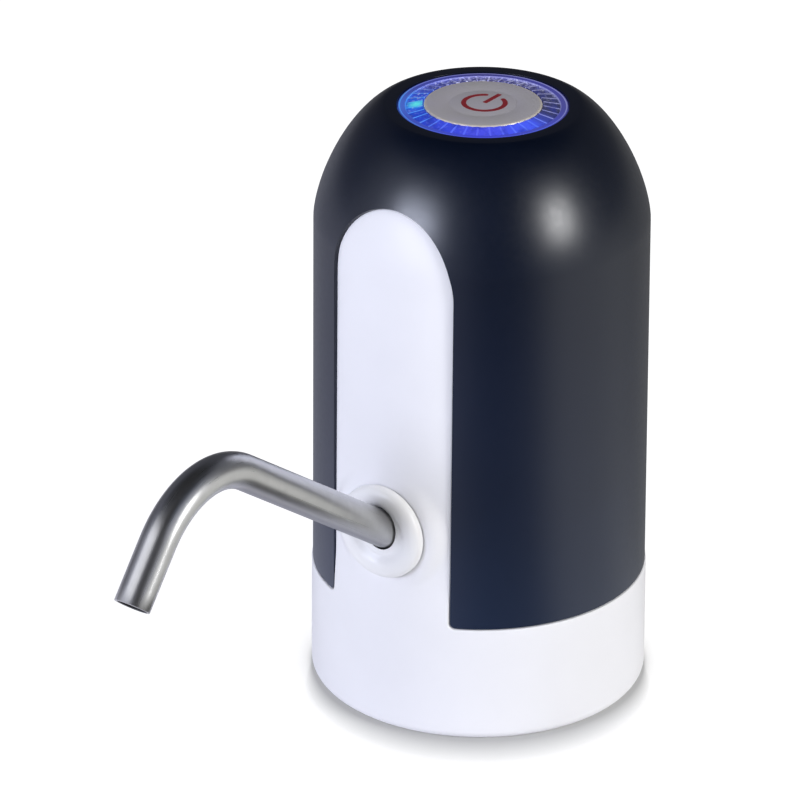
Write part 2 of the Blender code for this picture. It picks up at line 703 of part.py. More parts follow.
def build_inner_body(looks, spout_axis):
    bottom = -BASE_DROP
    profile = []
    for step in range(EDGE_STEPS + 1):
        turn = 0.5 * math.pi * step / EDGE_STEPS
        radius = BASE_RADIUS - BASE_EDGE_RADIUS * (1.0 - math.sin(turn))
        height = bottom + BASE_EDGE_RADIUS * (1.0 - math.cos(turn))
        profile.append((radius, height))
    shoulder = SHELL_EDGE_HEIGHT - GAP
    profile.append((BASE_SEAM_RADIUS, shoulder - TOP_EDGE_BREAK))
    profile.append((BASE_SEAM_RADIUS - TOP_EDGE_BREAK, shoulder))
    profile += wall_profile(BODY_INSET, shoulder, SHELF_HEIGHT, DOME_STEPS)
    profile.append((SHELF_HOLE_RADIUS, SHELF_HEIGHT))
    profile.append((SHELF_HOLE_RADIUS, SHELF_HEIGHT - SHELF_THICKNESS))
    ledge_low = DECK_TOP + GAP
    ledge_high = ledge_low + LEDGE_THICKNESS
    shelf_low = SHELF_HEIGHT - SHELF_THICKNESS
    profile += wall_profile(BODY_INNER_INSET, ledge_high, shelf_low, INNER_DOME_STEPS)[::-1]
    profile += [
        (LEDGE_RADIUS, ledge_high),
        (LEDGE_RADIUS, ledge_low),
        (SOCKET_WALL_RADIUS, ledge_low),
        (SOCKET_WALL_RADIUS, -SOCKET_WALL_END),
        (SOCKET_WALL_RADIUS + SOCKET_WALL, -SOCKET_WALL_END),
        (SOCKET_WALL_RADIUS + SOCKET_WALL, -GROOVE_TOP_DROP),
        (SKIRT_INNER_RADIUS, -GROOVE_TOP_DROP),
        (SKIRT_INNER_RADIUS, bottom + SKIRT_CURVE_HEIGHT),
        (SKIRT_RIM_RADIUS, bottom + 0.5 * SKIRT_CURVE_HEIGHT),
        (SKIRT_RIM_RADIUS, bottom),
    ]
    body_mesh = turned_mesh("inner_body", profile, BODY_STEPS)
    body = make_object("inner_body", body_mesh, looks["body_white"])

    join(body, build_panel_pad())
    pad = [(0.0, PANEL_BOSS_FACE)]
    for across, into in PANEL_BOSS_SHARES:
        radius = PANEL_BOSS_RADIUS + across * PANEL_BOSS_SPREAD
        pad.append((radius, PANEL_BOSS_FACE - into * PANEL_BOSS_DEPTH))
    pad.append((0.0, PANEL_BOSS_ROOT))
    boss = turned_mesh("panel_boss", pad, MEDIUM_STEPS)
    join(body, make_object("panel_boss", boss, None, (0.0, 0.0, COLLAR_HEIGHT), FACING_FRONT))

    groove_middle = 0.5 * (SOCKET_WALL_RADIUS + SOCKET_WALL + SKIRT_INNER_RADIUS)
    groove_width = SKIRT_INNER_RADIUS - SOCKET_WALL_RADIUS - SOCKET_WALL
    rib_size = (groove_width + 2.0 * RIB_BITE, RIB_THICKNESS, RIB_LOW_DROP - GROOVE_TOP_DROP + RIB_BITE)
    rib_middle = -0.5 * (RIB_LOW_DROP + GROOVE_TOP_DROP - RIB_BITE)
    for index in range(RIB_COUNT):
        degrees = 360.0 * (index + 0.5) / RIB_COUNT
        rib = box_mesh("skirt_rib", rib_size)
        place = around(groove_middle, degrees, rib_middle)
        turn = (0.0, 0.0, math.radians(degrees))
        join(body, make_object(f"skirt_rib_{index}", rib, None, place, turn))

    for index, degrees in enumerate(DECK_SCREW_ANGLES):
        place = around(DECK_SCREW_CIRCLE, degrees)
        column = rod_mesh("deck_boss", DECK_BOSS_RADIUS, ledge_low, DECK_BOSS_HEIGHT, SMALL_STEPS)
        join(body, make_object(f"deck_boss_{index}", column, None, place))
    for index, degrees in enumerate(DECK_SCREW_ANGLES):
        place = around(DECK_SCREW_CIRCLE, degrees)
        hole = rod_mesh("deck_boss_hole", SCREW_HOLE, -DECK_TOP, DECK_BOSS_HOLE_END, TINY_STEPS)
        cut(body, make_object(f"deck_boss_hole_{index}", hole, None, place))
    for index, degrees in enumerate(BOARD_SCREW_ANGLES):
        place = around(BOARD_SCREW_CIRCLE, degrees, SHELF_HEIGHT)
        hole = rod_mesh("shelf_hole", SMALL_HOLE, -BOARD_SCREW_LENGTH, BOARD_SCREW_LENGTH, TINY_STEPS)
        cut(body, make_object(f"shelf_hole_{index}", hole, None, place))

    reach = 0.5 * SOCKET_DEPTH
    passage = rod_mesh("socket_passage", SOCKET_RADIUS + GAP, -reach, reach, SMALL_STEPS)
    cut(body, make_object("socket_passage", passage, None, parent=spout_axis))
    cut(body, port_cutter("body_port_cutter", PORT_MARGIN + GAP))
    cup_radius = CELL_RADIUS + CUP_WALL + 2.0 * GAP
    notch = rod_mesh("cup_notch", cup_radius, DECK_TOP, CUP_HEIGHT, MEDIUM_STEPS)
    cut(body, make_object("cup_notch", notch, None, (CELL_X, CELL_Y, 0.0)))
    return body


def build_deck(looks):
    stem = [(INLET_BORE, -INLET_COLLAR_HEIGHT - INLET_BARB_LENGTH)]
    teeth = barb_profile(INLET_BARB_ROOT, INLET_BARB_RADIUS, INLET_COLLAR_HEIGHT, INLET_BARB_LENGTH, 3)
    stem += [(radius, -height) for radius, height in teeth[::-1]]
    stem += [
        (INLET_COLLAR_RADIUS, -INLET_COLLAR_HEIGHT),
        (INLET_COLLAR_RADIUS, 0.5 * DECK_TOP),
        (INLET_COLLAR_RADIUS, DECK_TOP + INLET_COLLAR_HEIGHT),
        (NIPPLE_RADIUS - NIPPLE_NECK_DEPTH, DECK_TOP + INLET_COLLAR_HEIGHT),
        (NIPPLE_RADIUS - NIPPLE_NECK_DEPTH, DECK_TOP + NIPPLE_HEIGHT - NIPPLE_BEAD),
        (NIPPLE_RADIUS, DECK_TOP + NIPPLE_HEIGHT - NIPPLE_BEAD),
        (NIPPLE_RADIUS - NIPPLE_NECK_DEPTH, DECK_TOP + NIPPLE_HEIGHT),
        (INLET_BORE, DECK_TOP + NIPPLE_HEIGHT),
    ]
    deck = make_object(
        "base_deck",
        turned_mesh(
            "base_deck",
            [
                (0.0, 0.0),
                (DECK_RADIUS - TOP_EDGE_BREAK, 0.0),
                (DECK_RADIUS, TOP_EDGE_BREAK),
                (DECK_RADIUS, DECK_TOP),
                (0.0, DECK_TOP),
            ],
            BODY_STEPS,
        ),
        looks["deck_white"],
    )
    post_top = CHARGE_BOARD_BOTTOM - GAP
    for index, side in enumerate((-1.0, 1.0)):
        post = rod_mesh("deck_post", DECK_POST_RADIUS, 0.5 * DECK_TOP, post_top, TINY_STEPS)
        spot = (side * DECK_POST_X, DECK_POST_Y, 0.0)
        join(deck, make_object(f"deck_post_{index}", post, None, spot))
    place = (INLET_X, INLET_Y, 0.0)
    bore = rod_mesh("inlet_bore", INLET_COLLAR_RADIUS - GAP, -DECK_TOP, DECK_TOP * 2.0, SMALL_STEPS)
    cut(deck, make_object("inlet_bore", bore, None, place))
    stem_mesh = turned_mesh("inlet_stem", stem, SMALL_STEPS)
    join(deck, make_object("inlet_stem", stem_mesh, None, place))

    holes = [around(DECK_SCREW_CIRCLE, degrees) for degrees in DECK_SCREW_ANGLES]
    holes += [Vector((POST_LEFT_X, POST_Y, 0.0)), Vector((POST_RIGHT_X, POST_Y, 0.0))]
    sink = SCREW_HEAD_HEIGHT + GAP
    for index, spot in enumerate(holes):
        profile = [
            (0.0, -sink),
            (SCREW_HEAD + GAP, -sink),
            (SCREW_HEAD + GAP, sink),
            (SCREW_HOLE, sink),
            (SCREW_HOLE, DECK_TOP + sink),
            (0.0, DECK_TOP + sink),
        ]
        hole = turned_mesh("deck_hole", profile, SMALL_STEPS)
        cut(deck, make_object(f"deck_hole_{index}", hole, None, spot))
    return holes


def build_deck_screws(looks, holes):
    names = ["deck_screw_1", "deck_screw_2", "deck_screw_3", "post_screw_1", "post_screw_2"]
    shape = screw_mesh(
        "deck_screw",
        SCREW_SHANK,
        SCREW_HEAD,
        SCREW_HEAD_HEIGHT,
        SCREW_LENGTH - SCREW_HEAD_HEIGHT,
    )
    shape.materials.append(looks["steel"])
    for name, spot in zip(names, holes):
        make_object(name, shape, None, spot)


def build_sleeve(looks):
    low = -SLEEVE_LOW_DROP
    high = -SLEEVE_TOP_DROP
    pitch = (high - low) / SLEEVE_LIP_COUNT
    profile = [(DECK_RADIUS, low), (SLEEVE_ROOT_RADIUS + SLEEVE_ENTRY, low)]
    for index in range(SLEEVE_LIP_COUNT):
        profile.append((SLEEVE_LIP_RADIUS, low + pitch * (index + SLEEVE_LIP_SHARE)))
        profile.append((SLEEVE_ROOT_RADIUS, low + pitch * (index + SLEEVE_ROOT_SHARE)))
    profile.append((SLEEVE_ROOT_RADIUS, high))
    profile.append((DECK_RADIUS, high))
    sleeve = turned_mesh("neck_sleeve", profile, BODY_STEPS)
    make_object("neck_sleeve", sleeve, looks["silicone"])


def build_collar(looks, spout_axis):
    back = PANEL_BOSS_FACE + GAP
    profile = [(0.0, back), (COLLAR_RADIUS, back), (COLLAR_RADIUS, back + COLLAR_SIDE)]
    for across, out in COLLAR_SHOULDER_SHARES:
        radius = COLLAR_RADIUS - across * (COLLAR_RADIUS - COLLAR_RIDGE_RADIUS)
        profile.append((radius, back + out * COLLAR_RIDGE))
    profile.append((COLLAR_RIDGE_RADIUS, back + COLLAR_RIDGE))
    for across, out in COLLAR_SLOPE_SHARES:
        radius = COLLAR_RIDGE_RADIUS - across * (COLLAR_RIDGE_RADIUS - COLLAR_DISH_RADIUS)
        profile.append((radius, back + COLLAR_DISH + out * (COLLAR_RIDGE - COLLAR_DISH)))
    profile.append((COLLAR_DISH_RADIUS, back + COLLAR_DISH))
    profile.append((0.0, back + COLLAR_DISH))
    collar = make_object(
        "spout_collar",
        turned_mesh("spout_collar", profile, MEDIUM_STEPS),
        looks["collar_white"],
        (0.0, 0.0, COLLAR_HEIGHT),
        FACING_FRONT,
    )
    hole = rod_mesh("collar_hole", COLLAR_HOLE, -SOCKET_DEPTH, SOCKET_DEPTH, SMALL_STEPS)
    cut(collar, make_object("collar_hole", hole, None, parent=spout_axis))


def build_socket(looks, spout_axis):
    """Slanted socket for the spout: a plate behind the panel, seal grooves and a barb for the hose."""
    end = -SOCKET_DEPTH
    profile = [(0.0, end), (SOCKET_RADIUS, end), (SOCKET_RADIUS, 0.0), (SOCKET_BORE, 0.0)]
    for station in SEAL_STATIONS:
        profile.append((SOCKET_BORE, SEAL_GROOVE - station))
        profile.append((SOCKET_BORE + SEAL_GROOVE_DEPTH, SEAL_GROOVE - station))
        profile.append((SOCKET_BORE + SEAL_GROOVE_DEPTH, -SEAL_GROOVE - station))
        profile.append((SOCKET_BORE, -SEAL_GROOVE - station))
    profile.append((SOCKET_BORE, end + SOCKET_FLOOR))
    profile.append((0.0, end + SOCKET_FLOOR))
    socket = make_object(
        "spout_socket",
        turned_mesh("spout_socket", profile, SOCKET_STEPS),
        looks["pump_plastic"],
        parent=spout_axis,
    )
    plate = turned_mesh(
        "socket_plate",
        [
            (SOCKET_RADIUS - RUNNING_GAP, SOCKET_PLATE_FACE - SOCKET_PLATE_THICKNESS),
            (SOCKET_PLATE_RADIUS, SOCKET_PLATE_FACE - SOCKET_PLATE_THICKNESS),
            (SOCKET_PLATE_RADIUS, SOCKET_PLATE_FACE),
            (SOCKET_RADIUS - RUNNING_GAP, SOCKET_PLATE_FACE),
        ],
        SOCKET_STEPS,
    )
    spot = (0.0, 0.0, SOCKET_PLATE_HEIGHT)
    join(socket, make_object("socket_plate", plate, None, spot, FACING_FRONT))
    teeth = barb_profile(BARB_ROOT, BARB_RADIUS, SOCKET_BARB_FREE, SOCKET_BARB_LENGTH, 2)
    barb = [(0.0, SOCKET_BARB_START), (BARB_ROOT, SOCKET_BARB_START)] + teeth
    barb.append((0.0, SOCKET_BARB_FREE + SOCKET_BARB_LENGTH))
    place = (0.0, 0.0, end + SOCKET_BARB_DROP)
    turn = (-SPOUT_TILT - 0.5 * math.pi, 0.0, 0.0)
    barb_mesh = turned_mesh("socket_barb", barb, SMALL_STEPS)
    join(socket, make_object("socket_barb", barb_mesh, None, place, turn, spout_axis))
    bore = rod_mesh("socket_barb_bore", BARB_BORE, SOCKET_BARB_START - GAP, SOCKET_DEPTH, TINY_STEPS)
    cut(socket, make_object("socket_barb_bore", bore, None, place, turn, spout_axis))
    trim_centre = (0.0, -PANEL_BOSS_FACE - 0.5 * WINDOW_REACH, COLLAR_HEIGHT)
    trim = box_mesh("socket_trim", (WINDOW_REACH, WINDOW_REACH, WINDOW_REACH), trim_centre)
    cut(socket, make_object("socket_trim", trim, None))


def build_spout(looks, spout_axis):
    bend = math.radians(SPOUT_BEND_DEG)
    points = [
        Vector((0.0, 0.0, -SPOUT_INSERT)),
        Vector((0.0, 0.0, -SPOUT_INSERT + SPOUT_INSERT_STEP)),
        Vector((0.0, 0.0, SPOUT_INSERT_STEP)),
        Vector((0.0, 0.0, SPOUT_MIDDLE_SHARE * SPOUT_LEG)),
    ]
    for step in range(SPOUT_BEND_STEPS + 1):
        turn = bend * step / SPOUT_BEND_STEPS
        across = -SPOUT_BEND_RADIUS * (1.0 - math.cos(turn))
        points.append(Vector((0.0, across, SPOUT_LEG + SPOUT_BEND_RADIUS * math.sin(turn))))
    way = Vector((0.0, -math.sin(bend), math.cos(bend)))
    points.append(points[-1] + way * SPOUT_END_LEG)
    curve_tube(
        "spout_tube",
        points,
        SPOUT_TUBE_RADIUS,
        looks["steel"],
        TUBE_SIDES,
        wall=SPOUT_TUBE_WALL,
        parent=spout_axis,
    )


def build_seals(looks, spout_axis):
    middle = SPOUT_TUBE_RADIUS + RUNNING_GAP + SEAL_CORD
    profile = []
    for step in range(SEAL_CORD_STEPS):
        turn = FULL_TURN * step / SEAL_CORD_STEPS
        profile.append((middle + SEAL_CORD * math.cos(turn), SEAL_CORD * math.sin(turn)))
    for index, station in enumerate(SEAL_STATIONS):
        data = turned_mesh("spout_seal", profile, MEDIUM_STEPS)
        place = (0.0, 0.0, -station)
        make_object(f"spout_seal_{index + 1}", data, looks["black_rubber"], place, parent=spout_axis)


def build_ring(looks):
    """Clear ring: a plain rim, radial facets that rise towards the button, a flange under the shell."""
    rim = RING_RADIUS - RING_RIM_WIDTH
    lip = [(RING_RADIUS, RING_TOP), (rim, RING_TOP)]
    below = [
        (RING_INNER_RADIUS, RING_STEP_HEIGHT),
        (RING_STEP_RADIUS, RING_STEP_HEIGHT),
        (RING_STEP_RADIUS, RING_BOTTOM),
        (RING_FLANGE_RADIUS, RING_BOTTOM),
        (RING_FLANGE_RADIUS, RING_FLANGE_TOP),
        (RING_RADIUS, RING_FLANGE_TOP),
    ]
    foot = RING_TOP - RING_FACET_SINK
    tip = RING_TOP + RING_FACET_RISE
    builder = bmesh.new()
    loops = []
    for step in range(RING_STEPS):
        turn = FULL_TURN * step / RING_STEPS
        drop = RING_FACET_DEPTH if step % 2 else 0.0
        facet = [(rim - RING_EDGE, foot - drop), (RING_INNER_RADIUS, tip - RING_FACET_TIP_SHARE * drop)]
        loop = []
        for radius, height in lip + facet + below:
            loop.append(builder.verts.new((radius * math.cos(turn), radius * math.sin(turn), height)))
        loops.append(loop)
    for index, loop in enumerate(loops):
        following = loops[(index + 1) % RING_STEPS]
        for place in range(len(loop)):
            after = (place + 1) % len(loop)
            builder.faces.new((loop[place], following[place], following[after], loop[after]))
    make_object("light_ring", mesh_from(builder, "light_ring"), looks["clear_blue"])


def build_button(looks):
    profile = [
        (0.0, BUTTON_STEM_END),
        (BUTTON_STEM_RADIUS, BUTTON_STEM_END),
        (BUTTON_STEM_RADIUS, BUTTON_TOP - BUTTON_THICKNESS),
        (BUTTON_SKIRT_INNER, BUTTON_TOP - BUTTON_THICKNESS),
        (BUTTON_SKIRT_INNER, BUTTON_FLANGE_BOTTOM),
        (BUTTON_FLANGE_RADIUS, BUTTON_FLANGE_BOTTOM),
        (BUTTON_FLANGE_RADIUS, BUTTON_FLANGE_TOP),
        (BUTTON_RADIUS, BUTTON_FLANGE_TOP),
        (BUTTON_RADIUS, BUTTON_TOP - BUTTON_EDGE),
        (BUTTON_RADIUS - BUTTON_EDGE, BUTTON_TOP),
        (0.0, BUTTON_TOP),
    ]
    button = turned_mesh("power_button", profile, BUTTON_STEPS)
    make_object("power_button", button, looks["button_metal"])


def build_board(looks):
    profile = [
        (0.0, BOARD_BOTTOM),
        (BOARD_RADIUS, BOARD_BOTTOM),
        (BOARD_RADIUS, BOARD_TOP),
        (0.0, BOARD_TOP),
    ]
    board_mesh = turned_mesh("control_board", profile, MEDIUM_STEPS)
    board = make_object("control_board", board_mesh, looks["board_green"])
    shape = screw_mesh("board_screw", SMALL_SHANK, SMALL_HEAD, SCREW_HEAD_HEIGHT, BOARD_SCREW_LENGTH)
    shape.materials.append(looks["steel"])
    for index, degrees in enumerate(BOARD_SCREW_ANGLES):
        place = around(BOARD_SCREW_CIRCLE, degrees)
        hole = rod_mesh("board_hole", SMALL_HOLE, SHELF_HEIGHT, CROWN_HEIGHT, TINY_STEPS)
        cut(board, make_object(f"board_hole_{index}", hole, None, place))
        head = around(BOARD_SCREW_CIRCLE, degrees, BOARD_TOP + GAP + SCREW_HEAD_HEIGHT)
        make_object(f"board_screw_{index + 1}", shape, None, head, (math.pi, 0.0, 0.0))

    switch_size = (SWITCH_SIDE, SWITCH_SIDE, SWITCH_HEIGHT)
    switch_middle = (0.0, 0.0, SWITCH_BOTTOM + 0.5 * SWITCH_HEIGHT)
    switch = box_mesh("tact_switch", switch_size, switch_middle, SWITCH_EDGE)
    body = make_object("tact_switch", switch, looks["black_plastic"])
    top = SWITCH_BOTTOM + SWITCH_HEIGHT
    low = top - PLUNGER_SINK
    well_radius = PLUNGER_RADIUS + PLUNGER_CLEARANCE
    well = rod_mesh(
        "switch_well",
        well_radius,
        low - SWITCH_WELL_MARGIN,
        top + SWITCH_WELL_MARGIN,
        SMALL_STEPS,
    )
    cut(body, make_object("switch_well", well, None))
    plunger = rod_mesh("switch_plunger", PLUNGER_RADIUS, low, BUTTON_STEM_END - RUNNING_GAP, SMALL_STEPS)
    make_object("switch_plunger", plunger, looks["black_plastic"])

    for index in range(LAMP_COUNT):
        degrees = LAMP_FIRST_DEG + 360.0 * index / LAMP_COUNT
        place = around(LAMP_CIRCLE, degrees, BOARD_TOP + GAP + 0.5 * LAMP_HEIGHT)
        turn = (0.0, 0.0, math.radians(degrees))
        lamp = box_mesh("ring_lamp", (LAMP_WIDTH, LAMP_LENGTH, LAMP_HEIGHT), bevel=LAMP_EDGE)
        make_object(f"ring_lamp_{index + 1}", lamp, looks["lamp_blue"], place, turn)


def build_cell(looks):
    top = CELL_BOTTOM + CELL_LENGTH - CELL_NUB_HEIGHT
    profile = [
        (0.0, CELL_BOTTOM),
        (CELL_RADIUS - CELL_EDGE, CELL_BOTTOM),
        (CELL_RADIUS, CELL_BOTTOM + CELL_EDGE),
        (CELL_RADIUS, top - CELL_EDGE),
        (CELL_RADIUS - CELL_EDGE, top),
        (CELL_NUB_RADIUS, top),
        (CELL_NUB_RADIUS, top + CELL_NUB_HEIGHT),
        (0.0, top + CELL_NUB_HEIGHT),
    ]
    place = (CELL_X, CELL_Y, 0.0)
    cell = turned_mesh("battery_cell", profile, MEDIUM_STEPS)
    make_object("battery_cell", cell, looks["cell_wrap"], place)
    floor = CELL_BOTTOM - GAP
    bore = CELL_RADIUS + GAP
    cup = [
        (0.0, DECK_TOP + GAP),
        (bore + CUP_WALL, DECK_TOP + GAP),
        (bore + CUP_WALL, CUP_HEIGHT),
        (bore, CUP_HEIGHT),
        (bore, floor),
        (0.0, floor),
    ]
    cup_mesh = turned_mesh("battery_cup", cup, MEDIUM_STEPS)
    make_object("battery_cup", cup_mesh, looks["black_plastic"], place)


def build_pump(looks, axis):
    cover_top = COVER_BOTTOM + COVER_THICKNESS
    cover_profile = [
        (0.0, COVER_BOTTOM),
        (PUMP_RADIUS - MOTOR_EDGE, COVER_BOTTOM),
        (PUMP_RADIUS, COVER_BOTTOM + MOTOR_EDGE),
        (PUMP_RADIUS, cover_top),
        (0.0, cover_top),
    ]
    cover_mesh = turned_mesh("pump_cover", cover_profile, MEDIUM_STEPS)
    cover = make_object("pump_cover", cover_mesh, looks["pump_plastic"], parent=axis)
    stem = [(0.0, GAP), (BARB_ROOT, GAP)]
    stem += [(r, -z) for r, z in barb_profile(BARB_ROOT, BARB_RADIUS, 0.0, COVER_BARB_LENGTH, 2)]
    stem.append((0.0, -COVER_BARB_LENGTH))
    for index, side in enumerate((-1.0, 1.0)):
        place = (side * COVER_BARB_OFFSET, 0.0, COVER_BOTTOM)
        stem_mesh = turned_mesh("cover_barb", stem, SMALL_STEPS)
        join(cover, make_object(f"cover_barb_{index}", stem_mesh, None, place, parent=axis))
        bore_low = -2.0 * COVER_BARB_LENGTH
        bore = rod_mesh("cover_bore", BARB_BORE, bore_low, COVER_THICKNESS + GAP, TINY_STEPS)
        cut(cover, make_object(f"cover_bore_{index}", bore, None, place, parent=axis))

    plate_top = VALVE_PLATE_BOTTOM + VALVE_PLATE_THICKNESS
    plate = make_object(
        "valve_plate",
        rod_mesh("valve_plate", PUMP_RADIUS, VALVE_PLATE_BOTTOM, plate_top, MEDIUM_STEPS),
        looks["body_white"],
        parent=axis,
    )
    membrane_top = DIAPHRAGM_BOTTOM + DIAPHRAGM_FLANGE
    membrane = make_object(
        "pump_diaphragm",
        rod_mesh("pump_diaphragm", PUMP_RADIUS, DIAPHRAGM_BOTTOM, membrane_top, MEDIUM_STEPS),
        looks["silicone"],
        parent=axis,
    )
    tilt = math.tan(math.radians(WOBBLE_TILT_DEG))
    arm_level = WOBBLE_CENTRE - 0.5 * WOBBLE_ARM_THICKNESS - WOBBLE_ARM_TIP * tilt - GAP
    for index in range(CHAMBER_COUNT):
        degrees = 360.0 * index / CHAMBER_COUNT
        spot = around(CHAMBER_CIRCLE, degrees)
        hole = rod_mesh("valve_hole", VALVE_HOLE, 0.0, CROWN_HEIGHT, TINY_STEPS)
        cut(plate, make_object(f"valve_hole_{index}", hole, None, spot, parent=axis))
        dome = turned_mesh(
            "chamber_dome",
            [
                (0.0, membrane_top - GAP),
                (CHAMBER_RADIUS, membrane_top - GAP),
                (CHAMBER_RADIUS, membrane_top),
                (CHAMBER_RADIUS - CHAMBER_WALL, membrane_top + 0.5 * CHAMBER_HEIGHT),
                (CHAMBER_STEM, membrane_top + 0.5 * CHAMBER_HEIGHT),
                (CHAMBER_STEM, arm_level - spot.x * tilt),
                (0.0, arm_level - spot.x * tilt),
            ],
            SMALL_STEPS,
        )
        join(membrane, make_object(f"chamber_dome_{index}", dome, None, spot, parent=axis))
        hollow = rod_mesh(
            "chamber_hollow",
            CHAMBER_RADIUS - CHAMBER_WALL * 1.5,
            0.0,
            membrane_top + 0.5 * CHAMBER_HEIGHT - CHAMBER_WALL,
            SMALL_STEPS,
        )
        cut(membrane, make_object(f"chamber_hollow_{index}", hollow, None, spot, parent=axis))

    top = HOUSING_BOTTOM + HOUSING_HEIGHT
    housing_profile = [
        (HOUSING_BORE, HOUSING_BOTTOM),
        (PUMP_RADIUS, HOUSING_BOTTOM),
        (PUMP_RADIUS, HOUSING_BOTTOM + HOUSING_FLANGE),
        (HOUSING_RADIUS, HOUSING_BOTTOM + HOUSING_FLANGE + MOTOR_EDGE),
        (HOUSING_RADIUS, top),
        (HOUSING_HOLE, top),
        (HOUSING_HOLE, top - HOUSING_TOP),
        (HOUSING_BORE, top - HOUSING_TOP),
    ]
    housing_mesh = turned_mesh("pump_housing", housing_profile, MEDIUM_STEPS)
    housing = make_object("pump_housing", housing_mesh, looks["pump_plastic"], parent=axis)

    shape = screw_mesh("pump_screw", SMALL_SHANK, SMALL_HEAD, SCREW_HEAD_HEIGHT, PUMP_SCREW_LENGTH)
    shape.materials.append(looks["steel"])
    hole_low = COVER_BOTTOM - GAP
    hole_high = HOUSING_BOTTOM + HOUSING_FLANGE - GAP
    foot = COVER_BOTTOM - GAP - SCREW_HEAD_HEIGHT
    for index in range(CHAMBER_COUNT):
        degrees = 360.0 * (index + 0.5) / CHAMBER_COUNT
        spot = around(PUMP_SCREW_CIRCLE, degrees)
        for target in (cover, plate, membrane, housing):
            hole = rod_mesh("screw_passage", SMALL_HOLE, hole_low, hole_high, TINY_STEPS)
            cut(target, make_object(f"{target.name}_passage_{index}", hole, None, spot, parent=axis))
        spot = around(PUMP_SCREW_CIRCLE, degrees, foot)
        make_object(f"pump_screw_{index + 1}", shape, None, spot, parent=axis)


def build_drive(looks, axis):
    """Eccentric on the motor's shaft, a tilted pin in it and the plate that the pin wobbles."""
    tilt = math.radians(WOBBLE_TILT_DEG)
    shaft = rod_mesh("motor_shaft", SHAFT_RADIUS, SHAFT_BOTTOM, SHAFT_BOTTOM + SHAFT_LENGTH, SMALL_STEPS)
    make_object("motor_shaft", shaft, looks["steel"], parent=axis)
    disc_top = ECCENTRIC_BOTTOM + ECCENTRIC_HEIGHT
    disc = rod_mesh("drive_eccentric", ECCENTRIC_RADIUS, ECCENTRIC_BOTTOM, disc_top, MEDIUM_STEPS)
    eccentric = make_object("drive_eccentric", disc, looks["brass"], parent=axis)
    bore_radius = SHAFT_RADIUS + RUNNING_GAP
    bore = rod_mesh("shaft_bore", bore_radius, SHAFT_BOTTOM - GAP, CROWN_HEIGHT, SMALL_STEPS)
    cut(eccentric, make_object("shaft_bore", bore, None, parent=axis))
    tilted = make_empty("wobble_axis", (0.0, 0.0, WOBBLE_CENTRE), (0.0, tilt, 0.0), axis)
    pin = rod_mesh("wobble_pin", PIN_RADIUS, GAP, GAP + PIN_LENGTH + PIN_RADIUS, TINY_STEPS)
    make_object("wobble_pin", pin, looks["steel"], parent=tilted)
    seat_top = PIN_LENGTH + PIN_RADIUS + 2.0 * GAP
    seat = rod_mesh("pin_seat", PIN_RADIUS + RUNNING_GAP, WOBBLE_HUB_HEIGHT, seat_top, TINY_STEPS)
    cut(eccentric, make_object("pin_seat", seat, None, parent=tilted))

    low = -0.5 * WOBBLE_ARM_THICKNESS
    hub = rod_mesh("wobble_plate", WOBBLE_HUB_RADIUS, low, low + WOBBLE_HUB_HEIGHT, SMALL_STEPS)
    plate = make_object("wobble_plate", hub, looks["body_white"], parent=tilted)
    for index in range(CHAMBER_COUNT):
        degrees = 360.0 * index / CHAMBER_COUNT
        arm = box_mesh(
            "wobble_arm",
            (CHAMBER_CIRCLE, WOBBLE_ARM_WIDTH, WOBBLE_ARM_THICKNESS),
            (0.5 * CHAMBER_CIRCLE, 0.0, 0.0),
        )
        turn = (0.0, 0.0, math.radians(degrees))
        lift = (0.0, 0.0, WOBBLE_ARM_LIFT)
        join(plate, make_object(f"wobble_arm_{index}", arm, None, lift, turn, tilted))
        tip = rod_mesh("wobble_tip", WOBBLE_ARM_TIP, low, -low, SMALL_STEPS)
        spot = around(CHAMBER_CIRCLE, degrees)
        join(plate, make_object(f"wobble_tip_{index}", tip, None, spot, parent=tilted))
    well = rod_mesh("wobble_well", PIN_RADIUS + RUNNING_GAP, 0.0, WOBBLE_HUB_HEIGHT * 2.0, TINY_STEPS)
    cut(plate, make_object("wobble_well", well, None, parent=tilted))


def build_motor(looks, axis):
    top = MOTOR_BOTTOM + MOTOR_LENGTH
    profile = [
        (0.0, MOTOR_BOTTOM - MOTOR_BOSS_HEIGHT),
        (MOTOR_BOSS_RADIUS, MOTOR_BOTTOM - MOTOR_BOSS_HEIGHT),
        (MOTOR_BOSS_RADIUS, MOTOR_BOTTOM),
        (MOTOR_RADIUS - MOTOR_EDGE, MOTOR_BOTTOM),
        (MOTOR_RADIUS, MOTOR_BOTTOM + MOTOR_EDGE),
        (MOTOR_RADIUS, top),
        (0.0, top),
    ]
    can_mesh = turned_mesh("motor_can", profile, MEDIUM_STEPS)
    can = make_object("motor_can", can_mesh, looks["motor_zinc"], parent=axis)
    bore_radius = SHAFT_RADIUS + RUNNING_GAP
    bore_top = MOTOR_BOTTOM + MOTOR_BEARING_DEPTH
    bearing = rod_mesh("bearing_bore", bore_radius, 0.5 * MOTOR_BOTTOM, bore_top, SMALL_STEPS)
    cut(can, make_object("bearing_bore", bearing, None, parent=axis))
    cap_top = END_CAP_BOTTOM + END_CAP_HEIGHT
    cap = rod_mesh("motor_end_cap", END_CAP_RADIUS, END_CAP_BOTTOM, cap_top, MEDIUM_STEPS, MOTOR_EDGE)
    make_object("motor_end_cap", cap, looks["black_plastic"], parent=axis)
    low = cap_top + GAP
    for index, side in enumerate((-1.0, 1.0)):
        tab = box_mesh("motor_tab", (TAB_THICKNESS, TAB_WIDTH, TAB_HEIGHT))
        place = (side * TAB_OFFSET, 0.0, low + 0.5 * TAB_HEIGHT)
        make_object(f"motor_tab_{index + 1}", tab, looks["brass"], place, parent=axis)


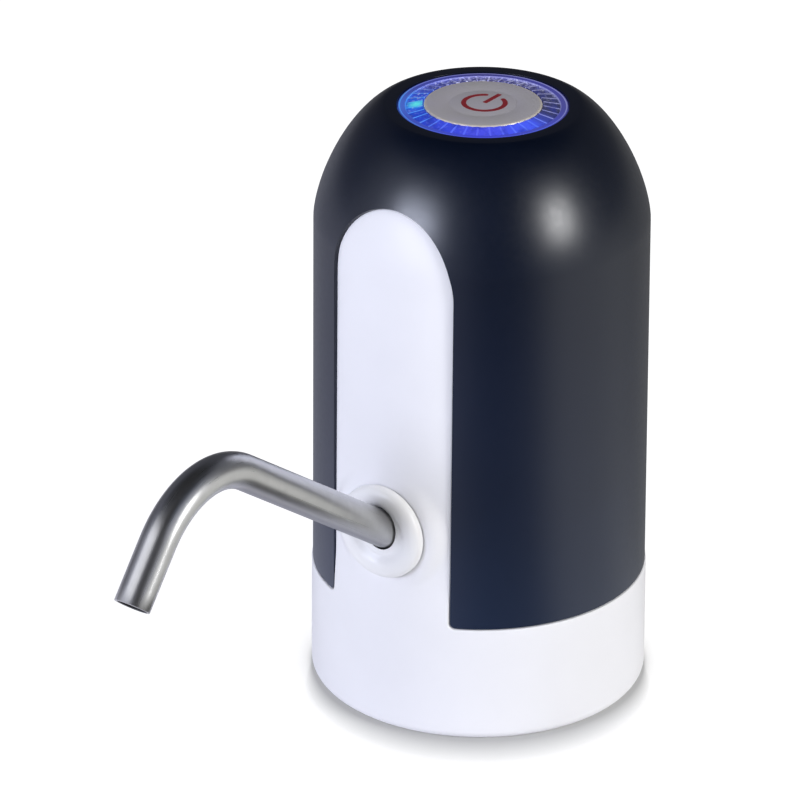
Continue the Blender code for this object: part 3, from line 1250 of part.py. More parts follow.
def build_bracket(looks):
    low = BRACKET_HEIGHT
    high = BRACKET_HEIGHT + BRACKET_THICKNESS
    middle = 0.5 * (low + high)
    bar_size = (POST_RIGHT_X - POST_LEFT_X + POST_SIDE, POST_SIDE, BRACKET_THICKNESS)
    bar = box_mesh("cell_bracket", bar_size, (0.5 * (POST_LEFT_X + POST_RIGHT_X), POST_Y, middle))
    bracket = make_object("cell_bracket", bar, looks["black_plastic"])
    post_low = DECK_TOP + GAP
    post_size = (POST_SIDE - GAP, POST_SIDE - GAP, middle - post_low)
    post_middle = (0.0, 0.0, 0.5 * (middle + post_low))
    for index, x in enumerate((POST_LEFT_X, POST_RIGHT_X)):
        post = box_mesh("bracket_post", post_size, post_middle)
        join(bracket, make_object(f"bracket_post_{index}", post, None, (x, POST_Y, 0.0)))
    seats = (
        (PUMP_X, PUMP_Y, MOTOR_RADIUS + GAP, POST_RIGHT_X),
        (CELL_X, CELL_Y, CELL_RADIUS + GAP, POST_LEFT_X),
    )
    for index, (x, y, radius, foot) in enumerate(seats):
        way = Vector((x - foot, y - POST_Y, 0.0))
        reach = way.length - radius - 0.5 * BRACKET_RING
        web_size = (reach, WEB_WIDTH, BRACKET_THICKNESS - 2.0 * GAP)
        web = box_mesh("bracket_web", web_size, (0.5 * reach, 0.0, middle))
        turn = (0.0, 0.0, math.atan2(way.y, way.x))
        join(bracket, make_object(f"bracket_web_{index}", web, None, (foot, POST_Y, 0.0), turn))
        profile = [
            (radius, low + 0.5 * GAP),
            (radius + BRACKET_RING, low + 0.5 * GAP),
            (radius + BRACKET_RING, high - 0.5 * GAP),
            (radius, high - 0.5 * GAP),
        ]
        ring = turned_mesh("bracket_ring", profile, MEDIUM_STEPS)
        join(bracket, make_object(f"bracket_ring_{index}", ring, None, (x, y, 0.0)))
    for index, x in enumerate((POST_LEFT_X, POST_RIGHT_X)):
        hole = rod_mesh("post_hole", SCREW_HOLE, 0.0, post_low + SCREW_LENGTH, TINY_STEPS)
        cut(bracket, make_object(f"post_hole_{index}", hole, None, (x, POST_Y, 0.0)))


def build_port(looks):
    front = wall_radius(PORT_HEIGHT, PORT_RECESS)
    middle = front - 0.5 * PORT_LENGTH
    size = (PORT_WIDTH, PORT_LENGTH, PORT_TALL)
    port_mesh = box_mesh("charge_port", size, bevel=PORT_EDGE)
    port = make_object("charge_port", port_mesh, looks["steel"], (0.0, middle, PORT_HEIGHT))
    hollow = (PORT_WIDTH - 2.0 * PORT_WALL, PORT_LENGTH, PORT_TALL - 2.0 * PORT_WALL)
    mouth = box_mesh("port_mouth", hollow)
    cut(port, make_object("port_mouth", mouth, None, (0.0, middle + PORT_RECESS, PORT_HEIGHT)))
    board_end = wall_radius(PORT_HEIGHT, BODY_INNER_INSET) - GAP
    board = box_mesh("charge_board", (CHARGE_BOARD_WIDTH, CHARGE_BOARD_LENGTH, CHARGE_BOARD_THICKNESS))
    board_middle = board_end - CHARGE_BOARD_INSET - 0.5 * CHARGE_BOARD_LENGTH
    level = CHARGE_BOARD_BOTTOM + 0.5 * CHARGE_BOARD_THICKNESS
    make_object("charge_board", board, looks["board_green"], (0.0, board_middle, level))
    top = CHARGE_BOARD_BOTTOM + CHARGE_BOARD_THICKNESS + GAP
    chip = box_mesh("charge_chip", (CHIP_SIDE, CHIP_SIDE, CHIP_HEIGHT), bevel=CHIP_EDGE)
    chip_place = (-CHIP_SIDE, board_middle - CHIP_SIDE, top + 0.5 * CHIP_HEIGHT)
    make_object("charge_chip", chip, looks["black_plastic"], chip_place)
    coil = rod_mesh("charge_coil", COIL_RADIUS, 0.0, COIL_HEIGHT, SMALL_STEPS, COIL_EDGE)
    make_object("charge_coil", coil, looks["black_plastic"], (CHIP_SIDE, board_middle - CHIP_SIDE, top))


def build_hoses(looks):
    pump_inlet = Vector((PUMP_X - COVER_BARB_OFFSET, PUMP_Y, COVER_BOTTOM - GAP))
    deck_inlet = Vector((INLET_X, INLET_Y, DECK_TOP + INLET_COLLAR_HEIGHT + GAP))
    wall = HOSE_RADIUS - HOSE_BORE
    run = [deck_inlet, pump_inlet]
    curve_tube("inlet_hose", run, HOSE_RADIUS, looks["silicone"], HOSE_SIDES, wall=wall)

    socket_end = Vector((0.0, -SPOUT_MOUTH_Y, SPOUT_MOUTH_HEIGHT))
    inward = Vector((0.0, math.cos(SPOUT_RISE), -math.sin(SPOUT_RISE)))
    barb_root = socket_end + inward * (SOCKET_DEPTH - SOCKET_BARB_DROP)
    back = Vector((0.0, 1.0, 0.0))
    start = Vector((PUMP_X + COVER_BARB_OFFSET, PUMP_Y, COVER_BOTTOM - GAP))
    down = Vector((0.0, 0.0, -1.0))
    finish = barb_root + back * (SOCKET_BARB_FREE + SOCKET_HOSE_STOP)
    stations = [
        start,
        start + down * 0.5 * COVER_BARB_LENGTH,
        start + down * COVER_BARB_LENGTH,
        start + Vector((OUTLET_BEND_X, OUTLET_BEND_Y, OUTLET_BEND_Z)),
        finish + Vector((OUTLET_TURN_X, OUTLET_TURN_Y, OUTLET_TURN_Z)),
        finish + back * (SOCKET_BARB_LENGTH + HOSE_RADIUS),
        finish + back * 0.5 * SOCKET_BARB_LENGTH,
        finish,
    ]
    path = smooth_path(stations, HOSE_STEPS)
    curve_tube("outlet_hose", path, HOSE_RADIUS, looks["silicone"], HOSE_SIDES, wall=wall)


def build_wires(looks):
    board_face = BOARD_BOTTOM - GAP - WIRE_RADIUS
    cell_top = CELL_BOTTOM + CELL_LENGTH + GAP + WIRE_RADIUS
    tab_top = END_CAP_BOTTOM + END_CAP_HEIGHT + TAB_HEIGHT + 2.0 * GAP + WIRE_RADIUS
    feet = {
        "cell_wire_red": Vector((CELL_X, CELL_Y, cell_top)),
        "cell_wire_black": Vector((CELL_X - 2.0 * WIRE_SPREAD, CELL_Y, cell_top - CELL_NUB_HEIGHT)),
        "motor_wire_red": Vector((PUMP_X - TAB_OFFSET, PUMP_Y, tab_top)),
        "motor_wire_black": Vector((PUMP_X + TAB_OFFSET, PUMP_Y, tab_top)),
    }
    ends = {
        "cell_wire_red": (CELL_X + CELL_WIRE_REACH, CELL_Y - CELL_WIRE_SIDE),
        "cell_wire_black": (CELL_X + CELL_WIRE_REACH - WIRE_SPREAD, CELL_Y - 3.0 * CELL_WIRE_SIDE),
        "motor_wire_red": (PUMP_X - TAB_OFFSET - WIRE_SPREAD, PUMP_Y - MOTOR_WIRE_DROP),
        "motor_wire_black": (PUMP_X, PUMP_Y - MOTOR_WIRE_DROP - WIRE_SPREAD),
    }
    for name, start in feet.items():
        look = looks["wire_red"] if name.endswith("red") else looks["wire_black"]
        end = Vector((*ends[name], board_face))
        rise = Vector((0.0, 0.0, WIRE_RISE_SHARE * (board_face - start.z)))
        middle = start.lerp(end, 0.5) + Vector((WIRE_SPREAD, -WIRE_SPREAD, 0.0)) * 0.5
        path = smooth_path([start, start + rise, middle, end - rise, end], WIRE_STEPS)
        curve_tube(name, path, WIRE_RADIUS, look, WIRE_SIDES)


def build_all():
    remove_everything()
    looks = build_materials()
    mouth = (0.0, -SPOUT_MOUTH_Y, SPOUT_MOUTH_HEIGHT)
    spout_axis = make_empty("spout_axis", mouth, (SPOUT_TILT, 0.0, 0.0))
    pump_axis = make_empty("pump_axis", (PUMP_X, PUMP_Y, 0.0))
    build_shell(looks)
    build_inner_body(looks, spout_axis)
    holes = build_deck(looks)
    build_deck_screws(looks, holes)
    build_sleeve(looks)
    build_collar(looks, spout_axis)
    build_socket(looks, spout_axis)
    build_spout(looks, spout_axis)
    build_seals(looks, spout_axis)
    build_ring(looks)
    build_button(looks)
    build_board(looks)
    build_cell(looks)
    build_pump(looks, pump_axis)
    build_drive(looks, pump_axis)
    build_motor(looks, pump_axis)
    build_bracket(looks)
    build_port(looks)
    build_hoses(looks)
    build_wires(looks)
    bpy.context.view_layer.update()


build_all()
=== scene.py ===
"""Looks of the bottled water pump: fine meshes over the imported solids, materials, studio and camera.

Sizes are millimetres times MM. Turns round the pump count from its front, the side of the spout.
"""

import math

import bmesh
import bpy
from mathutils import Matrix, Vector


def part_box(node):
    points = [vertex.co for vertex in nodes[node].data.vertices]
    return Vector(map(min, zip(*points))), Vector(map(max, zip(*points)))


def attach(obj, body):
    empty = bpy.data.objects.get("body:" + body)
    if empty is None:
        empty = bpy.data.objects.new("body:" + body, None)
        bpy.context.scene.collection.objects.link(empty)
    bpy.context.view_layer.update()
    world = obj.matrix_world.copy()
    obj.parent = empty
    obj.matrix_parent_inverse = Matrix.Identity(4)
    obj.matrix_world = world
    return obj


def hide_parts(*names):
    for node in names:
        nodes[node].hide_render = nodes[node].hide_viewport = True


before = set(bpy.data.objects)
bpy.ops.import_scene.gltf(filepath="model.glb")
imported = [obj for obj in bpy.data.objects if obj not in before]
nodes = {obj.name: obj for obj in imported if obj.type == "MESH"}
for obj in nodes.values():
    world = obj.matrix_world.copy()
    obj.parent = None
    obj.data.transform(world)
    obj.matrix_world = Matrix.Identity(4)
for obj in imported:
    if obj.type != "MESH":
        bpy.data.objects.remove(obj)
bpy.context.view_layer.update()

MM = 0.001

# Photograph: camera fitted to the object's outlines
CAMERA_AZIMUTH = math.radians(34.41)
CAMERA_ELEVATION = math.radians(25.50)
CAMERA_YAW = math.radians(0.860)
CAMERA_PITCH = math.radians(-0.076)
CAMERA_ROLL = math.radians(0.550)
CAMERA_DISTANCE = 1150.0 * MM
CAMERA_TARGET = Vector((0.0, 0.0, 41.0 * MM))
FOCAL_PIXELS = 5346.0
PICTURE_PIXELS = 800.0
SENSOR_MM = 36.0

# Outer surface of the body
BODY_RADIUS = 36.0 * MM
BODY_RADIUS_HEIGHT = 36.0 * MM
BODY_DRAFT_SHARE = 0.0058
DOME_START = 83.1 * MM
CROWN_RADIUS = 20.8 * MM
DOME_POWER = 1.5
SHELL_WALL = 1.8 * MM
GAP = 0.3 * MM
TOP_OPENING_RADIUS = 18.2 * MM
SHELL_EDGE = 0.32 * MM
SHELL_BAND = 0.8 * MM

# Lowest reach of the pump's wobbling arms
CUP_STEM_TOP = 33.5 * MM

# Window of the shell and the white panel in it
WINDOW_HALF_WIDTH = 15.23 * MM
WINDOW_SPRING_HEIGHT = 78.0 * MM
WINDOW_RISE = 17.3 * MM
WINDOW_CORNER = 1.1 * MM
PANEL_RECESS_LOW = 0.4 * MM
PANEL_RECESS_HIGH = 0.85 * MM
PANEL_BLEND_HEIGHT = 14.0 * MM
PAD_RADIUS = 10.6 * MM
PAD_SPREAD = 4.0 * MM
PAD_FACE = 35.7 * MM

# White base and the bottle's socket under it
BASE_RADIUS = 36.55 * MM
SEAM_RADIUS = 36.42 * MM
BASE_EDGE = 2.3 * MM
SEAM_EDGE = 0.3 * MM
INNER_WALL = 1.6 * MM
SHELF_HEIGHT = 97.6 * MM
SHELF_THICKNESS = 1.6 * MM
SHELF_HOLE_RADIUS = 17.0 * MM
LEDGE_RADIUS = 27.6 * MM
LEDGE_LOW = 2.3 * MM
LEDGE_HIGH = 3.9 * MM
SOCKET_WALL_RADIUS = 31.5 * MM
SOCKET_WALL = 1.4 * MM
SOCKET_WALL_DROP = 19.5 * MM
SKIRT_INNER_RADIUS = 34.6 * MM
SKIRT_RIM_RADIUS = 33.4 * MM
SKIRT_CURVE_HEIGHT = 3.0 * MM
GROOVE_DROP = 2.0 * MM
RIB_COUNT = 8
RIB_THICKNESS = 1.2 * MM
RIB_DROP = 18.0 * MM
RIB_EDGE = 0.2 * MM

# Spout, its collar and the passage behind it
SPOUT_MOUTH = Vector((0.0, -37.4 * MM, 24.13 * MM))
SPOUT_RISE = math.radians(34.26)
TUBE_RADIUS = 3.82 * MM
TUBE_WALL = 0.5 * MM
TUBE_LIP = 0.16 * MM
SPOUT_LEG = 56.63 * MM
SPOUT_END_LEG = 13.77 * MM
SPOUT_BEND_RADIUS = 21.44 * MM
SPOUT_BEND = math.radians(85.0)
SPOUT_INSERT = 21.0 * MM
PASSAGE_RADIUS = 6.3 * MM
PASSAGE_REACH = 12.0 * MM
COLLAR_HEIGHT = 22.98 * MM
COLLAR_RADIUS = 10.4 * MM
COLLAR_SIDE = 0.9 * MM
COLLAR_RIDGE_RADIUS = 8.1 * MM
COLLAR_RIDGE = 2.4 * MM
COLLAR_DISH_RADIUS = 5.0 * MM
COLLAR_DISH = 1.2 * MM
COLLAR_SLOPE_POWER = 1.3
COLLAR_HOLE = 4.15 * MM
COLLAR_HOLE_EDGE = 0.15 * MM

# Ring, button and the symbol on it
RING_RADIUS = 17.9 * MM
RING_TOP = 108.0 * MM
RING_RIM_WIDTH = 1.5 * MM
RING_EDGE = 0.2 * MM
RING_FACETS = 36
RING_FACET_DEPTH = 0.3 * MM
RING_FACET_TIP_SHARE = 0.4
RING_FACET_SINK = 0.15 * MM
RING_FACET_RISE = 0.45 * MM
RING_INNER_RADIUS = 12.75 * MM
RING_FLANGE_RADIUS = 19.6 * MM
RING_FLANGE_TOP = 106.1 * MM
RING_BOTTOM = 104.3 * MM
RING_STEP_RADIUS = 14.6 * MM
RING_STEP_HEIGHT = 105.7 * MM
RING_SOFT = 0.06 * MM
RING_SHARP = math.radians(24.0)
RING_SOFT_SEGMENTS = 2
BUTTON_RADIUS = 12.45 * MM
BUTTON_TOP = 108.5 * MM
BUTTON_EDGE = 0.35 * MM
BUTTON_THICKNESS = 1.6 * MM
BUTTON_FLANGE_RADIUS = 14.1 * MM
BUTTON_FLANGE_TOP = 105.3 * MM
BUTTON_BOTTOM = 104.3 * MM
BUTTON_SKIRT = 11.0 * MM
BUTTON_STEM = 2.0 * MM
BUTTON_STEM_END = 104.9 * MM
BUTTON_CIRCLE = 7.1 * MM
BUTTON_CIRCLE_WIDTH = 0.8 * MM
BUTTON_CIRCLE_DEPTH = 0.1 * MM
SYMBOL_RADIUS = 4.9 * MM
SYMBOL_STROKE = 1.06 * MM
SYMBOL_BAR = 5.8 * MM
SYMBOL_CORNER = 0.212 * MM
SYMBOL_SHIFT = (0.11 * MM, 0.32 * MM)
SYMBOL_RISE = 0.02 * MM
SYMBOL_OPENING = math.radians(30.0)

# Silicone sleeve round the bottle's neck
SLEEVE_LOW = -19.2 * MM
SLEEVE_TOP = -2.0 * MM
SLEEVE_RADIUS = 31.2 * MM
SLEEVE_ROOT = 28.7 * MM
SLEEVE_LIP = 27.6 * MM
SLEEVE_LIPS = 2
SLEEVE_LIP_SHARE = 0.35
SLEEVE_ROOT_SHARE = 0.9
SLEEVE_ENTRY = 0.6 * MM
SLEEVE_SOFT = 0.5 * MM

# Charging port at the back
PORT_HEIGHT = 14.3 * MM
PORT_WIDTH = 7.6 * MM
PORT_TALL = 2.7 * MM
PORT_MARGIN = 0.7 * MM
PORT_CORNER = 1.3 * MM
PORT_CUT_INWARD = 20.8 * MM
PORT_CUT_OUTWARD = 10.4 * MM
TONGUE_RECESS = 1.8 * MM
TONGUE_WIDTH = 5.4 * MM
TONGUE_THICKNESS = 0.7 * MM
TONGUE_LENGTH = 3.2 * MM

# Floor: its white by daylight and as the camera sees it, and the shade round the foot
FLOOR_REACH = 4.0
FLOOR_WHITE = 0.83
FLOOR_SEEN = 0.30
FLOOR_LIFT_NEAR = 0.23
FLOOR_LIFT_FAR = 0.92
FLOOR_SHADE_SHIFT = 11.0 * MM
FLOOR_SHADE_RADIUS = 38.4 * MM
FLOOR_CONTACT_SHADE = 0.6 * MM

# What shiny pieces mirror, by angle: 0 at the back, 0.25 left, 0.5 towards the camera, 0.75 right.
# In every table of colours a plain number is a grey.
FLOOR_MIRROR = (
    (0.000, (0.22, 0.22, 0.23)),
    (0.108, (0.42, 0.43, 0.50)),
    (0.250, (0.80, 0.80, 0.92)),
    (0.380, (0.78, 0.78, 0.88)),
    (0.444, (0.50, 0.50, 0.58)),
    (0.475, (0.18, 0.18, 0.20)),
    (0.517, 0.05),
    (0.575, 0.10),
    (0.653, 0.86),
    (0.747, (0.77, 0.77, 0.76)),
    (0.847, (0.36, 0.36, 0.35)),
    (0.917, 0.25),
    (1.000, (0.22, 0.22, 0.23)),
)
SKY_MIRROR = (
    (0.00, (0.10, 0.10, 0.11)),
    (0.17, (0.20, 0.20, 0.22)),
    (0.28, 1.00),
    (0.38, 0.90),
    (0.46, (0.30, 0.30, 0.32)),
    (0.52, 0.02),
    (0.575, 0.02),
    (0.635, 0.80),
    (0.68, 0.80),
    (0.80, 0.20),
    (1.00, (0.10, 0.10, 0.11)),
)

# The same by how steeply it looks up, from level to straight up, and the light on the rest
SKY_RISE = (
    (0.00, 0.75),
    (0.30, (0.58, 0.60, 0.68)),
    (0.60, (0.52, 0.55, 0.64)),
    (0.72, (0.06, 0.08, 0.14)),
    (0.85, (0.01, 0.015, 0.03)),
    (1.00, (0.01, 0.01, 0.02)),
)
SKY_FILL = 0.33

# Lit ring by the same angle: its cells, the light ridges between them (the ring's own glow at the front and
# left, painted highlights at the back and right), the band outside and painted glints
RING_CELLS = (
    (0.00, (0.05, 0.045, 0.20)),
    (0.12, (0.04, 0.05, 0.30)),
    (0.19, (0.02, 0.07, 0.58)),
    (0.25, (0.01, 0.13, 0.78)),
    (0.31, (0.01, 0.05, 0.50)),
    (0.40, (0.03, 0.055, 0.58)),
    (0.50, (0.055, 0.065, 0.66)),
    (0.62, (0.05, 0.09, 0.78)),
    (0.67, (0.035, 0.05, 0.32)),
    (0.71, (0.032, 0.036, 0.11)),
    (0.80, (0.032, 0.036, 0.11)),
    (0.88, (0.04, 0.04, 0.18)),
    (1.00, (0.05, 0.045, 0.20)),
)
RING_GLOW_AND_PAINTED_HIGHLIGHT_LINES = (
    (0.00, (0.36, 0.36, 0.72)),
    (0.12, (0.24, 0.28, 0.78)),
    (0.22, (0.07, 0.38, 0.92)),
    (0.32, (0.08, 0.30, 0.90)),
    (0.42, (0.09, 0.15, 0.86)),
    (0.50, (0.09, 0.11, 0.78)),
    (0.63, (0.09, 0.17, 0.90)),
    (0.70, (0.26, 0.28, 0.60)),
    (0.80, (0.34, 0.35, 0.62)),
    (0.90, (0.36, 0.37, 0.70)),
    (1.00, (0.36, 0.36, 0.72)),
)
RING_BAND = (
    (0.00, (0.035, 0.035, 0.21)),
    (0.14, (0.04, 0.05, 0.32)),
    (0.25, (0.05, 0.12, 0.54)),
    (0.34, (0.04, 0.07, 0.46)),
    (0.50, (0.04, 0.05, 0.58)),
    (0.63, (0.05, 0.06, 0.44)),
    (0.75, (0.06, 0.06, 0.28)),
    (0.88, (0.05, 0.05, 0.30)),
    (1.00, (0.035, 0.035, 0.21)),
)
# Painted glints on the ring by the same angle, strongest at the back
RING_PAINTED_GLINTS = (
    (0.00, 0.75),
    (0.12, 0.5),
    (0.20, 0.35),
    (0.32, 0.05),
    (0.70, 0.0),
    (0.82, 0.2),
    (0.90, 0.6),
    (1.00, 0.75),
)

# Painted highlight lines along the ring's edges, from its inner edge to its outer one
RING_EDGE_PAINTED_HIGHLIGHTS = (
    (0.00, 0.0),
    (0.65, 0.0),
    (0.69, 0.5),
    (0.73, 0.0),
    (0.89, 0.0),
    (0.93, 0.75),
    (0.97, 0.1),
    (1.00, 0.0),
)

# Steel round the tube's section, from its top by its right and its underside: a painted highlight along the
# top and painted shade on the underside
TUBE_PAINTED_HIGHLIGHT_AND_SHADE = (
    (0.00, (0.60, 0.60, 0.62)),
    (0.16, 0.66),
    (0.30, (0.60, 0.60, 0.58)),
    (0.37, 0.46),
    (0.43, (0.21, 0.21, 0.23)),
    (0.48, (0.14, 0.15, 0.17)),
    (0.55, (0.14, 0.15, 0.17)),
    (0.75, 0.54),
    (1.00, (0.60, 0.60, 0.62)),
)

# Navy of the shell by its height, with painted light from the floor: paler towards the base, darkest at the
# crown
SHELL_NAVY_WITH_PAINTED_FLOOR_LIGHT = (
    (0.00, (0.0100, 0.0185, 0.0440)),
    (0.30, (0.0064, 0.0115, 0.0290)),
    (0.62, (0.0030, 0.0066, 0.0195)),
    (0.85, (0.0018, 0.0046, 0.0140)),
    (1.00, (0.0008, 0.0026, 0.0090)),
)

# Materials: scales of their noise, range that is used of it, depth of their grain
NOISE_LOW = 0.3
NOISE_HIGH = 0.7
NOISE_DETAIL = 3.0
CLOUD_SCALE = 60.0
GRAIN_SCALE = 900.0
GRAIN_DEPTH = 0.004 * MM
WHITE_GRAIN_DEPTH = 0.002 * MM
ROUGHNESS_SPREAD = 0.04
PLAIN_GLOSS = 0.5
BODY_GLOSS = 0.25
SHELL_CLOUD = 0.03
SHELL_ROUGHNESS = (0.30, 0.34)
SHELL_GRAIN_DEPTH = 0.0004 * MM
TUBE_LINES = (150.0, 10.0, 1.0)
TUBE_LINE_DEPTH = 0.001 * MM
TUBE_CLOUD_SCALE = 260.0
TUBE_CLOUD = 0.16
TUBE_CLOUD_GREY = 0.30
TUBE_ROUGHNESS = (0.27, 0.35)
TUBE_METAL = 0.95
BUTTON_GREY = (0.56, 0.54, 0.55)
BUTTON_LILAC = (0.58, 0.55, 0.62)
BUTTON_RIM = (0.80, 0.73, 0.61)
BUTTON_CLOUD_SCALE = 90.0
BUTTON_ROUGHNESS = (0.40, 0.46)
BUTTON_METAL = 0.3
BUTTON_GRAIN_DEPTH = 0.003 * MM
RIDGE_WIDTH = (0.04, 0.10)
# Painted glints on the ring: scale, detail and range of their noise, and their colour
PAINTED_GLINT_SCALE = 1500.0
PAINTED_GLINT_DETAIL = 1.0
PAINTED_GLINT_RANGE = (0.56, 0.66)
PAINTED_GLINT_COLOUR = (0.72, 0.74, 0.98)
STREAK_SCALE = 420.0
STREAK_DETAIL = 2.0
STREAK_SHARE = 0.55
STREAK_RANGE = (0.45, 0.70)
STREAK_COLOUR = (0.012, 0.022, 0.26)
RING_LAMP_REACH = 14.0 * MM
RING_LAMP_GLOW = (0.4 * MM, 2.4 * MM)
RING_LAMP_SHARE = 0.9
RING_LAMP_COLOUR = (0.10, 0.78, 0.74)
RING_GLOW = 0.5
RING_ROUGHNESS = 0.3
RING_COAT = 0.7
RING_COAT_ROUGHNESS = 0.08

# Plain materials: name, colour, roughness, cloudiness, metal, and if need be grain depth and gloss
PLAIN_LOOKS = (
    ("body_white", (0.865, 0.86, 0.88), 0.42, 0.012, 0.0, WHITE_GRAIN_DEPTH, BODY_GLOSS),
    ("collar_white", (0.87, 0.865, 0.86), 0.34, 0.01, 0.0, WHITE_GRAIN_DEPTH),
    ("deck_white", (0.76, 0.76, 0.77), 0.45, 0.012, 0.0),
    ("steel", (0.56, 0.56, 0.57), 0.24, 0.05, 1.0),
    # steel_bore: dull steel inside the tube, darkened further as painted shade in the bore
    ("steel_bore", (0.10, 0.10, 0.105), 0.45, 0.08, 0.6),
    ("motor_zinc", (0.52, 0.53, 0.54), 0.36, 0.06, 1.0),
    ("silicone", (0.72, 0.73, 0.75), 0.55, 0.03, 0.0),
    ("black_rubber", (0.02, 0.02, 0.021), 0.7, 0.2, 0.0),
    ("board_green", (0.015, 0.11, 0.04), 0.4, 0.12, 0.0),
    ("cell_wrap", (0.03, 0.16, 0.42), 0.35, 0.08, 0.0),
    ("black_plastic", (0.018, 0.018, 0.02), 0.45, 0.15, 0.0),
    ("pump_plastic", (0.30, 0.31, 0.33), 0.5, 0.06, 0.0),
    ("brass", (0.66, 0.48, 0.20), 0.32, 0.06, 1.0),
    ("lamp_blue", (0.30, 0.55, 0.95), 0.3, 0.05, 0.0),
    ("wire_red", (0.48, 0.02, 0.02), 0.45, 0.08, 0.0),
    ("wire_black", (0.015, 0.015, 0.017), 0.45, 0.15, 0.0),
    ("red_print", (0.28, 0.012, 0.02), 0.5, 0.06, 0.0),
)

# Lamps: name, turn from the camera and rise in degrees, width and height, power, colour.
# One whose name starts with a piece's reaches that piece alone, the others all but the tube.
LIGHT_DISTANCE = 0.9
LIGHTS = (
    ("left", -50.0, 19.0, (0.42, 0.30), 4.8, (0.77, 0.81, 1.0)),
    ("right", 57.0, 22.0, (0.25, 0.25), 4.5, 1.0),
    ("top", -10.0, 75.0, (0.80, 0.80), 0.5, 1.0),
    ("shell_left", -49.0, 20.5, (0.42, 0.38), 3.3, (0.80, 0.86, 1.0)),
    ("tube_left", -50.0, 40.0, (0.80, 0.35), 1.1, 1.0),
    ("tube_right", 70.0, 3.0, (0.16, 0.50), 1.8, 1.0),
)
UNMIRRORED_LIGHTS = ("top",)

# Facets of round pieces, whole and quarter turns, and edges
BODY_COLUMNS = 144
PANEL_COLUMNS = 40
PANEL_ROWS = 60
CURVE_STEPS = 10
EDGE_STEPS = 4
BAND_STEPS = 14
RING_COLUMNS = 2 * RING_FACETS
ARCH_STEPS = 36
ARCH_LAST_STEP = 0.1
DOME_STEPS = 30
WALL_STEPS = 12
TUBE_SIDES = 64
BEND_STEPS = 40
ROUND_STEPS = 96
FULL_TURN = 2.0 * math.pi
QUARTER_TURN = 0.5 * math.pi
MERGE_DISTANCE = 1.0e-7
SHARP_ANGLE = math.radians(35.0)
SOFT_SEGMENTS = 3
SOFT_ANGLE = math.radians(50.0)

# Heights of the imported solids, and what follows from them
BASE_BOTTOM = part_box("inner_body")[0].z
SHELL_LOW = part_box("outer_shell")[0].z
CROWN_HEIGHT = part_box("outer_shell")[1].z
BODY_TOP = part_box("inner_body")[1].z
SEAM_HEIGHT = SHELL_LOW - GAP - SEAM_EDGE
PANEL_FOOT = WINDOW_HALF_WIDTH + WINDOW_CORNER
BODY_INSET = SHELL_WALL + GAP
SPOUT_AXIS = Matrix.Translation(SPOUT_MOUTH) @ Matrix.Rotation(QUARTER_TURN - SPOUT_RISE, 4, "X")


def finished_mesh(builder, name, sharp=SHARP_ANGLE):
    """The mesh with doubles merged, faces turned outward and all but its sharp edges smooth."""
    bmesh.ops.remove_doubles(builder, verts=builder.verts, dist=MERGE_DISTANCE)
    bmesh.ops.dissolve_degenerate(builder, edges=builder.edges, dist=MERGE_DISTANCE)
    bmesh.ops.recalc_face_normals(builder, faces=builder.faces)
    data = bpy.data.meshes.new(name)
    builder.to_mesh(data)
    builder.free()
    data.shade_smooth()
    data.set_sharp_from_angle(angle=sharp)
    return data


def placed(name, data, place=Matrix()):
    """A new object in the scene."""
    item = bpy.data.objects.new(name, data)
    bpy.context.scene.collection.objects.link(item)
    item.matrix_world = place
    return item


def piece(name, data, material, body, node=None, place=Matrix()):
    """A shown object that rides on a body of the frame and may stand for one of its nodes."""
    item = placed(name, data, place)
    data.materials.append(material)
    bpy.context.view_layer.update()
    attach(item, body)
    if node is not None:
        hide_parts(node)
    return item


def grid_mesh(name, rows, wrap_columns=True, wrap_rows=False, sharp=SHARP_ANGLE, second_from=None):
    """Quads between neighbouring rows of points, with a UV map that runs across and along the rows.

    Rows from second_from on take the second material.
    """
    builder = bmesh.new()
    layer = builder.loops.layers.uv.new("Along")
    points = [[builder.verts.new(point) for point in row] for row in rows]
    row_count = len(rows)
    column_count = len(rows[0])
    for i in range(row_count if wrap_rows else row_count - 1):
        for j in range(column_count if wrap_columns else column_count - 1):
            corners = ((i, j), (i, j + 1), (i + 1, j + 1), (i + 1, j))
            face = builder.faces.new([points[a % row_count][b % column_count] for a, b in corners])
            face.material_index = 1 if second_from is not None and i >= second_from else 0
            for loop, (a, b) in zip(face.loops, corners):
                loop[layer].uv = (b / column_count, a / row_count)
    return finished_mesh(builder, name, sharp)


def rounded(corners):
    """A closed outline of (x, y, radius) corners with each radius drawn as an arc."""
    outline = []
    for index, (x, y, radius) in enumerate(corners):
        if radius == 0.0:
            outline.append((x, y))
            continue
        here = Vector((x, y))
        before = (Vector(corners[index - 1][:2]) - here).normalized()
        after = (Vector(corners[(index + 1) % len(corners)][:2]) - here).normalized()
        half = 0.5 * before.angle(after)
        middle = here + (before + after).normalized() * radius / math.sin(half)
        start = here + before * radius / math.tan(half) - middle
        end = here + after * radius / math.tan(half) - middle
        turn = start.angle_signed(end)
        for step in range(EDGE_STEPS + 1):
            spoke = start.copy()
            spoke.rotate(Matrix.Rotation(-turn * step / EDGE_STEPS, 2))
            outline.append(tuple(middle + spoke))
    return outline


def rectangle(left, low, right, high, radius=0.0):
    return rounded([(left, low, radius), (right, low, radius), (right, high, radius), (left, high, radius)])


def spun(outline, turn):
    """The (radius, height) points of an outline at a turn about Z."""
    return [(radius * math.cos(turn), radius * math.sin(turn), height) for radius, height in outline]


def turned_mesh(name, outline):
    """A closed outline turned about Z; one that starts and ends on Z stays open along it."""
    rows = [spun(outline, FULL_TURN * step / ROUND_STEPS) for step in range(ROUND_STEPS)]
    on_axis = outline[0][0] == 0.0 and outline[-1][0] == 0.0
    return grid_mesh(name, rows, wrap_columns=not on_axis, wrap_rows=True)


